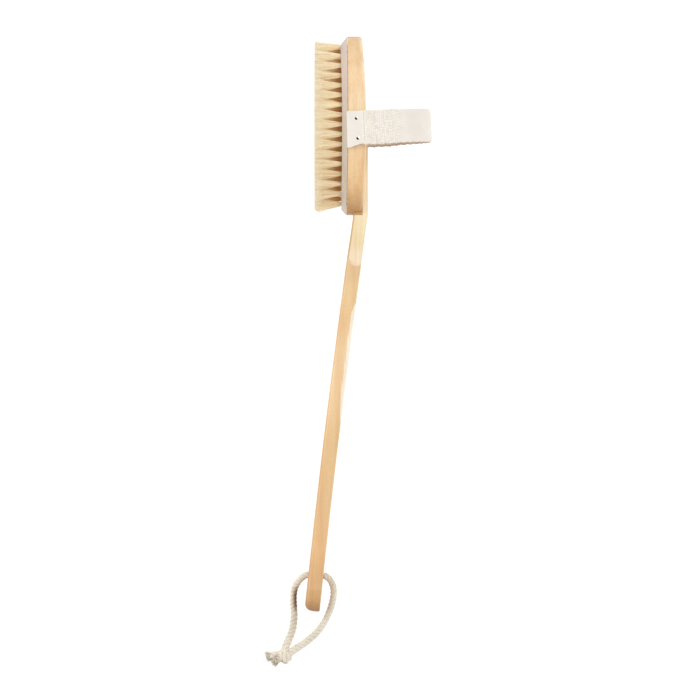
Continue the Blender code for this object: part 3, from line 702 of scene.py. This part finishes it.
def tongue():
    outline = [
        (TONGUE_FRONT_X, -TONGUE_FRONT_HALF), (TONGUE_BACK_X, -TONGUE_BACK_HALF),
        (TONGUE_BACK_X, TONGUE_BACK_HALF), (TONGUE_FRONT_X, TONGUE_FRONT_HALF),
    ]
    return prism("tongue", outline, SHOULDER_Y - MM, TONGUE_TOP_Y, lambda a, b, s: (a, s, b))


def head_cope():
    """Cutter that shapes the neck's upper end to the head's rounded lower end."""
    y, z = oval(-0.12 * MM)
    outline = list(zip(y, z))
    return prism("head_cope", outline, -20 * MM, 30 * MM, lambda a, b, s: (s, a, b))


# ---------------------------------------- bristles


def field_half_width(y):
    """How far from the head's middle line the outermost tufts of a row stand."""
    return half_width_at(abs(y) + FIELD_END_MARGIN) - FIELD_MARGIN


def tufts_of_row(row):
    """(y, z) of each tuft root in a row across the head, every second one half a pitch back."""
    middle = (ROW_COUNT - 1) // 2
    y = (row - middle) * ROW_PITCH
    reach = field_half_width(y)
    count = round(2 * reach / TUFT_SPACING) + 1
    tufts = []
    for i in range(count):
        staggered = min(i, count - 1 - i) % 2 == 1
        if staggered and row == middle:
            continue
        shift = -math.copysign(ROW_PITCH / 2, y) if staggered else 0.0
        tufts.append((y + shift, -reach + 2 * reach * i / (count - 1)))
    return tufts


def tip_spread(y, z):
    """How far a tuft's tips stand outwards from its root, more at the lower end of the head."""
    share = y / (HEAD_LENGTH / 2)
    along = -0.9 * MM * max(share, 0) ** 3 - 3.0 * MM * max(-share, 0) ** 4
    return along, z * 0.13


def tuft_bristles(draw, y, z):
    """(bristles, rings, sides, 3) of one tuft, fanned out from its hole and trimmed flat."""
    n = BRISTLES_PER_TUFT
    turn = np.arange(n) * math.pi * (3 - math.sqrt(5)) + draw.uniform(0, 6.28)
    out = np.sqrt((np.arange(n) + 0.5) / n)
    root = np.stack([out * np.cos(turn), out * np.sin(turn)], -1)
    fan = TUFT_TIP_RADIUS * draw.uniform(0.92, 1.05)
    stray = draw.normal(0, 0.5 * MM, (n, 2))
    stray += (draw.random((n, 1)) < 0.04) * draw.normal(0, 1.6 * MM, (n, 2))
    tip = root * fan * TIP_STRETCH + stray + tip_spread(y, z)
    bow = draw.normal(0, 0.35 * MM, (n, 2))
    start = joint_x(y) + 0.5 * MM
    end = TIP_X + draw.normal(0, 0.16 * MM, n) + np.abs(draw.normal(0, 0.12 * MM, n))
    end += LOWER_TRIM_SLOPE * np.maximum(0, LOWER_TRIM_Y - (y + tip[:, 0]))
    steps = np.array([0.0, 0.22, 0.45, 0.72, 1.0])
    lines = []
    for t in steps:
        free = max(0.0, (t - 0.15) / 0.85)
        fanned = free**1.3
        middle = root * TUFT_ROOT_RADIUS * (1 - fanned) + tip * fanned
        middle += bow * math.sin(math.pi * free)
        lines.append(np.stack([start + (end - start) * t, y + middle[:, 0], z + middle[:, 1]], -1))
    lines = np.stack(lines, 1)
    radius = BRISTLE_RADIUS * draw.uniform(0.75, 1.2, n)[:, None] * (1 - 0.4 * steps)[None, :]
    sides = circle(3)
    around = np.stack([np.zeros(3), np.cos(sides), np.sin(sides)], -1)
    return lines[:, :, None, :] + radius[:, :, None, None] * around


def bristle_rows():
    look = bristle_look()
    draw = np.random.default_rng(17)
    for row in range(ROW_COUNT):
        rings, tint, inner = [], [], []
        for y, z in tufts_of_row(row):
            made = tuft_bristles(draw, y, z)
            rings.append(made)
            tone = np.clip(draw.normal(0.55, 0.25, len(made)), 0.07, 1)
            tone[draw.random(len(made)) < 0.05] = 0.0
            tint.append(tone)
            edge = 1 - abs(z) / (field_half_width(y) + 1e-6)
            inner.append(np.full(len(made), float(ease(edge / 0.2))))
        rings = np.concatenate(rings)
        points, faces = tubes(rings)
        name = f"bristle_row_{row + 1:02d}"
        obj = mesh_object(f"bristles_{row + 1:02d}", points, faces, look)
        shape = rings.shape[:3]
        steps = np.linspace(0, 1, shape[1])[None, :, None]
        attribute(obj, "tint", np.broadcast_to(np.concatenate(tint)[:, None, None], shape))
        attribute(obj, "inner", np.broadcast_to(np.concatenate(inner)[:, None, None], shape))
        attribute(obj, "along", np.broadcast_to(steps, shape))
        attach(obj, "head", "bristle", name)


# ---------------------------------------- handle


def rounded(from_end, reach, depth):
    """How far a side draws in near an end by an elliptical corner, at that distance from it."""
    share = max(0.0, 1 - from_end / reach)
    return depth * (1 - math.sqrt(1 - share**2))


def half_thickness(y):
    grown = ease((BEND_TO_Y - y) / (BEND_TO_Y - NECK_END_Y + NECK_END_RADIUS))
    return (NECK_THICKNESS + (GRIP_THICKNESS - NECK_THICKNESS) * grown) / 2


def handle_section(y):
    """Points round the handle at height y."""
    corner_steps = 8
    from_tip = y - TIP_Y
    full = half_thickness(y)
    half_w = GRIP_HALF_WIDTH - rounded(from_tip, TIP_CORNER, TIP_CORNER)
    front = -full + rounded(from_tip, TIP_FRONT_REACH, TIP_FRONT_DEPTH)
    back = full - rounded(from_tip, TIP_EDGE, TIP_EDGE)
    middle, half_t = (front + back) / 2, (back - front) / 2
    edge = min(EDGE_ROUND, 0.9 * half_t)
    lean = math.atan(slope_at(y))
    across_way = np.array([math.cos(lean), -math.sin(lean), 0.0])
    centre = np.array([centre_x(y), y, 0.0])
    points = []
    for corner, (side_t, side_w) in enumerate(((1, 1), (-1, 1), (-1, -1), (1, -1))):
        for step in range(corner_steps + 1):
            turn = math.pi / 2 * (corner + step / corner_steps)
            t = middle + side_t * (half_t - edge) + edge * math.cos(turn)
            w = side_w * (half_w - edge) + edge * math.sin(turn)
            points.append(centre + across_way * t + np.array([0.0, 0.0, w]))
    return points


def across_handle(points):
    """How far points are from the handle's centre line: -1 at its front and 1 at its back."""
    heights = np.linspace(TIP_Y, TONGUE_TOP_Y, 400)
    y = points[:, 1]
    middle = np.interp(y, heights, [centre_x(height) for height in heights])
    lean = np.arctan(np.interp(y, heights, [slope_at(height) for height in heights]))
    return (points[:, 0] - middle) * np.cos(lean) / half_thickness(y)


def neck_cutter(side):
    arc = []
    for turn in np.linspace(math.pi, 2 * math.pi, 49):
        x = NECK_END_X + NECK_END_RADIUS * math.cos(turn)
        arc.append((x, NECK_END_Y + NECK_END_RADIUS * math.sin(turn)))
    top = COPE_TOP_Y + 5 * MM
    ends = (-15 * MM, top), (-15 * MM, NECK_END_Y), (25 * MM, NECK_END_Y), (25 * MM, top)
    outline = [*ends[:2], *arc, *ends[2:]]
    return prism(
        "neck_mill", outline, side * NECK_HALF_WIDTH, side * 20 * MM, lambda a, b, s: (a, b, s),
    )


def handle():
    low = TIP_Y + TIP_CORNER
    stations = list(np.linspace(COPE_TOP_Y, low, 152))
    stations += [TIP_Y + TIP_CORNER * (1 - math.sin(math.pi / 2 * i / 14)) for i in range(1, 14)]
    stations += [TIP_Y + 0.02 * MM]
    points, faces = tubes(np.array([handle_section(y) for y in stations])[None])
    bar = mesh_object("handle_bar", points, faces, handle_wood())
    face_out(bar)
    for side in (1, -1):
        combine(bar, neck_cutter(side), "DIFFERENCE")
    combine(bar, head_cope(), "DIFFERENCE")
    combine(bar, tongue(), "UNION")
    combine(bar, drill(), "DIFFERENCE")
    shade(bar, 28)
    corners = np.empty(3 * len(bar.data.vertices))
    bar.data.vertices.foreach_get("co", corners)
    attribute(bar, "across", across_handle(corners.reshape(-1, 3)))
    attach(bar, "handle", "handle_wood", "handle")


def drill():
    lean = math.atan(slope_at(HOLE_Y))
    way = np.array([math.cos(lean), -math.sin(lean), 0.0])
    beside = np.array([math.sin(lean), math.cos(lean), 0.0])
    up = np.array([0.0, 0.0, 1.0])
    turn = circle(40)
    ring = HOLE_RADIUS * (np.cos(turn)[:, None] * beside + np.sin(turn)[:, None] * up)
    centre = np.array(HOLE_IN_BRUSH)
    points, faces = tubes(np.array([[centre + way * s * 15 * MM + ring for s in (-1, 1)]]))
    made = mesh_object("cord_drill", points, faces)
    face_out(made)
    return made


# ---------------------------------------- strap


def strap_line(step):
    """(x, z, nx, nz) along the strap's middle, from one folded end over the hand to the other:
    a point and the direction out of the strap's outer face."""
    half = STRAP_THICKNESS / 2
    outer, under = STRAP_OUTER_Z - half, STRAP_OUTER_Z - 3 * half
    fold_x, arch_x = HEM_START_X + half, STRAP_TOP_X - STRAP_OUTER_Z
    pieces = []

    def straight(x_from, x_to, z, nz):
        count = max(2, round(abs(x_to - x_from) / step))
        for x in np.linspace(x_from, x_to, count, endpoint=False):
            pieces.append((x, z, 0.0, nz))

    straight(HEM_END_X - 0.3 * MM, fold_x, under, -1)
    for turn in np.linspace(-math.pi / 2, -3 * math.pi / 2, 8, endpoint=False):
        x, z = math.cos(turn), math.sin(turn)
        pieces.append((fold_x + half * x, outer - half + half * z, x, z))
    straight(fold_x, arch_x, outer, 1)
    count = round(math.pi * outer / step)
    for turn in np.linspace(math.pi / 2, 0, count // 2, endpoint=False):
        x, z = math.cos(turn), math.sin(turn)
        pieces.append((arch_x + outer * x, outer * z, x, z))
    near = np.array(pieces)
    far = near[::-1] * np.array([1, -1, 1, -1])
    top = np.array([[arch_x + outer, 0.0, 1.0, 0.0]])
    return np.concatenate([near, top, far])


def strap_edges(line):
    """(upper, lower) edge of the strap at each station: the folded ends flare, the lower most."""
    x = line[:, 0]
    flare = ease((4.5 * MM - x) / (11 * MM))
    along = np.arange(len(x))
    ripple = 0.17 * MM * np.sin(along * 0.75) + 0.2 * MM * np.sin(along * 0.31 + 1)
    ripple = ripple * (1 - flare)
    sag = 0.6 * MM * ease((34 * MM - x) / (12 * MM)) * ease((x - 4 * MM) / (5 * MM))
    top_round = np.clip((x - (STRAP_TOP_X - ARCH_ROUND)) / ARCH_ROUND, 0, 0.98)
    pulled = ARCH_PULL * (1 - np.sqrt(1 - top_round**2))
    upper = STRAP_HALF_WIDTH - 0.55 * MM + 0.3 * ripple - pulled
    lower = -STRAP_HALF_WIDTH - 2.3 * MM * flare**1.6 + ripple + pulled - sag
    return upper, lower


def nubs(u, v, draw):
    """Relief of the weave, from 0 to 1, at distances u along and v across the strap."""
    pitch_u, pitch_v = 1.55 * MM, 2.2 * MM
    column = np.floor(u / pitch_u).astype(int)
    shifted = v / pitch_v + 0.5 * (column % 2) + 0.25 * np.sin(column * 2.3)
    cell = np.floor(shifted).astype(int)
    cells = (column.max() - column.min() + 1, cell.max() - cell.min() + 1)
    strength = draw.uniform(0.1, 1.0, cells) ** 0.7
    height = np.sin(np.pi * (u / pitch_u % 1)) ** 0.5 * np.sin(np.pi * (shifted % 1)) ** 0.5
    return height * strength[column - column.min(), cell - cell.min()]


def strap():
    line = strap_line(0.28 * MM)
    gaps = np.hypot(*np.diff(line[:, :2], axis=0).T)
    along = np.concatenate([[0.0], np.cumsum(gaps)])
    upper, lower = strap_edges(line)
    draw = np.random.default_rng(5)
    outer_share = np.linspace(-1, 1, 80)
    inner_share = np.linspace(1, -1, 44)
    reach = line[:, 0]
    coarse = ease((reach - 4 * MM) / (4 * MM)) * (1 - 0.9 * ease((reach - 23 * MM) / (22 * MM)))
    depth = 0.06 * MM + 0.36 * MM * coarse
    half = STRAP_THICKNESS / 2
    rings, relief = [], []
    for share, side in ((outer_share, 1.0), (inner_share, -1.0)):
        y = lower[:, None] + (upper - lower)[:, None] * (share[None, :] + 1) / 2
        u = np.broadcast_to(along[:, None], y.shape)
        height = nubs(u, y + WEAVE_START, draw)
        round_off = 1 - np.clip((np.abs(share) - 0.94) / 0.06, 0, 1) ** 2 * 0.75
        on_seam = np.exp(-(((line[:, 0:1] - SEAM_X) / (0.42 * MM)) ** 2))
        on_seam = on_seam * (line[:, 1:2] * line[:, 3:4] > 0)
        between = np.cos(np.pi * (y + SEAM_HALF_LENGTH) / STITCH_PITCH) ** 2
        hole = on_seam * between**2 * (np.abs(y) < SEAM_HALF_LENGTH + 0.3 * MM)
        lift = side * (half * round_off[None, :] - depth[:, None] * (1 - height) - 0.45 * MM * hole)
        skew = HEM_SKEW * (y + STRAP_HALF_WIDTH) * ease((2 * MM - line[:, 0:1]) / (9 * MM))
        x = line[:, 0:1] + line[:, 2:3] * lift + skew
        z = line[:, 1:2] + line[:, 3:4] * lift
        rings.append(np.stack([x, y, z], -1))
        # relief is lower between the nubs and at the stitch holes, where cotton() paints shade
        shown = 1 - 0.75 * (1 - height) * depth[:, None] / (0.42 * MM)
        relief.append(np.clip(shown - 0.9 * hole, 0, 1))
    points, faces = tubes(np.concatenate(rings, 1)[None])
    look = cotton(
        "webbing", rgb(245, 239, 231), rgb(240, 234, 223), (5, 5, 5),
        marked=("shade_and_hem_tint", rgb(190, 172, 161)), dark=0.58,
    )
    obj = mesh_object("webbing_strap", points, faces, look, STRAP)
    attribute(obj, "relief", np.concatenate(relief, 1))
    # painted shade on the inner face, strongest along its lower edge; on the outer face, painted
    # shade where the arch curves over at its top, and a tint on the folded ends
    lower_edge_shade = 0.2 + 0.8 * ease((-10.2 * MM - STRAP_HALF_WIDTH * inner_share) / (1.4 * MM))
    arch_shade_and_hem_tint = 0.2 * ease((reach - 26 * MM) / (18 * MM))
    arch_shade_and_hem_tint = arch_shade_and_hem_tint + 0.1 * ease((5 * MM - reach) / (3 * MM))
    arch_shade_and_hem_tint = np.broadcast_to(arch_shade_and_hem_tint[:, None], (len(line), len(outer_share)))
    lining_shade = np.broadcast_to(lower_edge_shade[None, :], (len(line), len(inner_share)))
    attribute(obj, "shade_and_hem_tint", np.concatenate([arch_shade_and_hem_tint, lining_shade], 1))
    attach(obj, "head", "webbing", "hand_strap")


def stitches():
    look = cotton("sewing_thread", rgb(226, 219, 208), rgb(214, 206, 192), (8, 8, 8), 0.05)
    turn = circle(8)
    for side, side_name in ((1, "near"), (-1, "far")):
        rings = []
        for i in range(STITCH_COUNT):
            y = -SEAM_HALF_LENGTH + STITCH_PITCH * (i + 0.5)
            stitch = []
            for share in np.linspace(-1, 1, 7):
                sink = 0.5 * MM * share**2
                radius = 0.32 * MM * (1 - 0.45 * share**4)
                z = side * (STRAP_OUTER_Z - 0.18 * MM - sink)
                place = y + share * 0.55 * MM
                stitch.append([
                    (SEAM_X + radius * math.cos(t), place, z + radius * math.sin(t)) for t in turn
                ])
            rings.append(stitch)
        points, faces = tubes(np.array(rings))
        obj = mesh_object(f"strap_stitches_{side_name}", points, faces, look, STRAP)
        attribute(obj, "relief", np.ones(len(obj.data.vertices)))
        attach(obj, "head", "thread", f"strap_seam_{side_name}")


def nails():
    look = nail_steel()
    base = STRAP_OUTER_Z - NAIL_SINK + 0.3 * MM
    profile = [(NAIL_HEAD_RADIUS * math.sin(t), NAIL_HEAD_HEIGHT * math.cos(t))
               for t in np.linspace(0.02, math.pi / 2, 12)]
    profile += [(NAIL_HEAD_RADIUS, -0.25 * MM), (0.6 * MM, -0.3 * MM)]
    profile += [(0.6 * MM, -8 * MM), (0.05 * MM, -9 * MM)]
    turn = circle(28)
    for side, side_name in ((1, "near"), (-1, "far")):
        for level, x, y in (("upper", -NAIL_X, NAIL_Y), ("lower", NAIL_X, -NAIL_Y)):
            y -= NAIL_DROP
            rings = [
                np.stack([
                    x + r * np.cos(turn), y + r * np.sin(turn), np.full(28, side * (base + h)),
                ], -1)
                for r, h in profile
            ]
            name = f"nail_{side_name}_{level}"
            points, faces = tubes(np.array(rings)[None])
            obj = mesh_object(name, points, faces, look, STRAP)
            # painted highlight: higher towards the head's upper right, lower towards its lower left
            glint_side = ((points[:, 0] - x) + (points[:, 1] - y)) / NAIL_HEAD_RADIUS
            attribute(obj, "glint_side", glint_side)
            face_out(obj)
            shade(obj, 40)
            attach(obj, "head", "nail_steel", f"strap_{name}")


# ---------------------------------------- cord


def smooth_path(points, spacing):
    """Points about that far apart on a smooth curve through the given ones (Catmull-Rom)."""
    padded = np.array([2 * points[0] - points[1], *points, 2 * points[-1] - points[-2]])
    t = np.linspace(0, 1, 24, endpoint=False)[:, None]
    fine = []
    for a, b, c, d in zip(padded, padded[1:], padded[2:], padded[3:]):
        fine.append(0.5 * (2 * b + (c - a) * t + (2 * a - 5 * b + 4 * c - d) * t**2
                           + (3 * b - a - 3 * c + d) * t**3))
    fine = np.concatenate([*fine, padded[-2:-1]])
    lengths = np.concatenate([[0.0], np.cumsum(np.linalg.norm(np.diff(fine, axis=0), axis=1))])
    wanted = np.linspace(0, lengths[-1], max(3, round(lengths[-1] / spacing)))
    return np.stack([np.interp(wanted, lengths, fine[:, k]) for k in range(3)], -1)


def carried_frame(path):
    """(side, up) unit vectors along a path, turned as little as possible on the way."""
    forward = np.gradient(path, axis=0)
    forward /= np.linalg.norm(forward, axis=1)[:, None]
    side = np.empty_like(path)
    last = np.cross(forward[0], (0.0, 0.0, 1.0))
    for i, way in enumerate(forward):
        last = last - way * np.dot(last, way)
        last = last / np.linalg.norm(last)
        side[i] = last
    return side, np.cross(forward, side)


def rope(path, radius=CORD_RADIUS, lay_length=9.6 * MM, phase=0.0, spread=None):
    """Rings of three twisted strands along a path. Each strand has ridges of finer yarns, and
    spread is how much further apart than tight they are along the way."""
    side, up = carried_frame(path)
    steps = np.linalg.norm(np.diff(path, axis=0), axis=1)
    along = np.concatenate([[0.0], np.cumsum(steps)])
    open_by = np.ones(len(path)) if spread is None else spread
    strand_radius = radius * 0.54
    turn = circle(24)
    rings, relief = [], []
    for strand in range(3):
        angle = 2 * np.pi * (along / lay_length + strand / 3) + phase
        out = np.cos(angle)[:, None] * side + np.sin(angle)[:, None] * up
        centre = path + out * (radius * 0.475 * open_by)[:, None]
        way = np.gradient(centre, axis=0)
        way /= np.linalg.norm(way, axis=1)[:, None]
        out = out - way * (out * way).sum(1)[:, None]
        out /= np.linalg.norm(out, axis=1)[:, None]
        beside = np.cross(way, out)
        yarn = np.cos(7 * turn[None, :] + 2 * np.pi * along[:, None] / (0.55 * lay_length))
        size = strand_radius * (1 + 0.075 * yarn)
        rings.append(
            centre[:, None] + (size * np.cos(turn))[..., None] * out[:, None]
            + (size * np.sin(turn))[..., None] * beside[:, None]
        )
        # painted shade on each strand's side towards the rope's middle, and between the yarns
        facing = np.cos(turn)[None, :] * 0.4 + 0.6
        relief.append(np.clip(facing + 0.4 * yarn, 0, 1))
    rings = np.array(rings)
    rings[..., 2] = np.maximum(rings[..., 2], 0.05 * MM)
    return rings, np.array(relief)


def from_hole(offset, height):
    return np.array([HOLE.x + offset[0] * MM, HOLE.y + offset[1] * MM, height])


def cord_look():
    pale, shade = rgb(236, 228, 212), rgb(224, 213, 193)
    return cotton("cord_cotton", pale, shade, (4, 4, 4), 0.1, ("cord_shade", rgb(138, 100, 72)))


def handle_side_shade(path, rings):
    """1 on the painted shade along the inner side of the loop's left half, next to the handle, and
    0 elsewhere.
    """
    to_handle = (rings[..., 0] - path[None, :, None, 0]) / CORD_RADIUS
    down = (HOLE.y - path[:, 1]) / MM
    reach = ease((down - 4) / 9) * ease((29 - down) / 8) * (path[:, 0] < HOLE.x - 8 * MM)
    return ease((to_handle + 0.55) / 1.2) * reach[None, :, None]


def knot_axis():
    """(middle of the knot, direction from the loop's side of it to the tails' side)."""
    way = np.array([-0.69, -0.72, 0.0])
    return from_hole(KNOT_OFFSET, KNOT_HEIGHT), way / np.linalg.norm(way)


def cord():
    look = cord_look()
    middle, way = knot_axis()
    route = [from_hole((x, y), z * MM) for x, y, z in CORD_ROUTE]
    path = smooth_path([middle + way * 0.5 * MM, *route, middle + way * 1.5 * MM], 0.45 * MM)
    from_knot = np.linspace(0, 1, len(path))
    from_knot = np.minimum(from_knot, 1 - from_knot)
    rings, relief = rope(path, spread=1 + 0.35 * ease((0.3 - from_knot) / 0.26))
    points, faces = tubes(rings)
    loop = mesh_object("cord_loop", points, faces, look, Matrix.Identity(4))
    attribute(loop, "relief", relief)
    attribute(loop, "cord_shade", handle_side_shade(path, rings))
    attach(loop, "hanging_loop", "cord", "hanging_cord")
    on_it = [knot(look, middle, way), *tails(look, middle)]


def crease(points, middle, start, end, width=0.75 * MM):
    """How much painted shade points get near a fold between two places that are given from the
    knot's middle.
    """
    start, end = np.array(start) * MM, np.array(end) * MM
    run = end - start
    off = points[:, :2] - middle[:2] - start
    share = np.clip(off @ run / (run @ run), 0, 1)
    gap = np.linalg.norm(off - share[:, None] * run, axis=1)
    return 0.5 * np.exp(-((gap / width) ** 2))


def knot(look, middle, way):
    """Two wraps of the cord round itself, as in a tight overhand knot."""
    beside = np.cross(way, (0.0, 0.0, 1.0))
    up = np.array([0.0, 0.0, 1.0])
    turn = np.linspace(-0.15, 1.95, 90) * 2 * np.pi
    share = np.linspace(-1, 1, 90)
    radius = 3.2 * MM
    path = (
        middle + KNOT_SHIFT + way * (share * 3.0 * MM)[:, None]
        + beside * (np.cos(turn) * radius * 1.08)[:, None]
        + up * (np.sin(turn) * radius * 0.9)[:, None]
    )
    path = smooth_path(list(path[::3]), 0.4 * MM)
    rings, relief = rope(path, CORD_RADIUS * 0.92, 10 * MM, 1.0)
    points, faces = tubes(rings)
    obj = mesh_object("cord_knot_wraps", points, faces, look, Matrix.Identity(4))
    attribute(obj, "relief", relief)
    attribute(obj, "cord_shade", crease(points, middle, (-5.2, -2.0), (-1.0, -5.0)))
    return attach(obj, "hanging_loop", "cord", "cord_knot")


def tails(look, middle):
    made = []
    draw = np.random.default_rng(9)
    for number, (name, places) in enumerate(TAILS.items()):
        heights = np.linspace(-0.4 * MM, 3.0 * MM - KNOT_HEIGHT, len(places))
        stops = [middle + np.array([x * MM, y * MM, z]) for (x, y), z in zip(places, heights)]
        path = smooth_path(stops, 0.4 * MM)
        open_end = ease(np.linspace(-0.4, 1, len(path)))
        spread = 1 + 0.35 * open_end
        rings, relief = rope(path, CORD_RADIUS, 14 * MM, 2.0 * number, spread)
        relief = np.maximum(relief, open_end[None, :, None])
        points, faces = tubes(rings)
        fray_points, fray_faces = fray(draw, path, FRAY_COUNT)
        count = len(points)
        points = np.concatenate([points, fray_points])
        faces += [[i + count for i in face] for face in fray_faces]
        obj = mesh_object(f"{name}_frayed", points, faces, look, Matrix.Identity(4))
        values = np.concatenate([relief.ravel(), np.repeat(draw.uniform(0.8, 1, FRAY_COUNT), 15)])
        attribute(obj, "relief", values)
        attribute(obj, "cord_shade", crease(points, middle, (-7.0, 0.2), (-6.4, -4.6)))
        made.append(attach(obj, "hanging_loop", "cord", name))
    return made


def fray(draw, path, count):
    """Loose fibres that fan out of a cut end."""
    way = path[-1] - path[-6]
    way = way / np.linalg.norm(way)
    side = np.cross(way, (0.0, 0.0, 1.0))
    side /= np.linalg.norm(side)
    up = np.cross(side, way)
    turn = draw.uniform(0, 2 * np.pi, count)
    out = np.sqrt(draw.random(count))
    spot = np.stack([np.cos(turn) * out, np.sin(turn) * out * 0.9], -1)
    length = (1.2 + 2.6 * draw.beta(2.2, 2.0, count)) * MM
    bend = draw.normal(0, 0.4, (count, 2))
    lines = []
    for t in np.linspace(0, 1, 5):
        reach = -1.6 * MM * (1 - t) + length * t
        wide = 2.3 * MM + 1.6 * MM * t
        off = spot * wide + bend * MM * t**2
        lines.append(
            path[-1] + way * reach[:, None] + side * off[:, 0:1] + up * off[:, 1:2]
        )
    lines = np.stack(lines, 1)
    lines[..., 2] = np.maximum(lines[..., 2], 0.12 * MM)
    radius = 0.17 * MM * draw.uniform(0.6, 1.2, count)[:, None] * np.array([1, 1, 0.9, 0.8, 0.5])
    around = circle(3)
    ring = np.cos(around)[:, None] * side + np.sin(around)[:, None] * up
    return tubes(lines[:, :, None, :] + radius[:, :, None, None] * ring)


# ---------------------------------------- everything


camera()
cord()
bristle_board()
cover_board()
bristle_rows()
handle()
strap()
stitches()
nails()
studio()
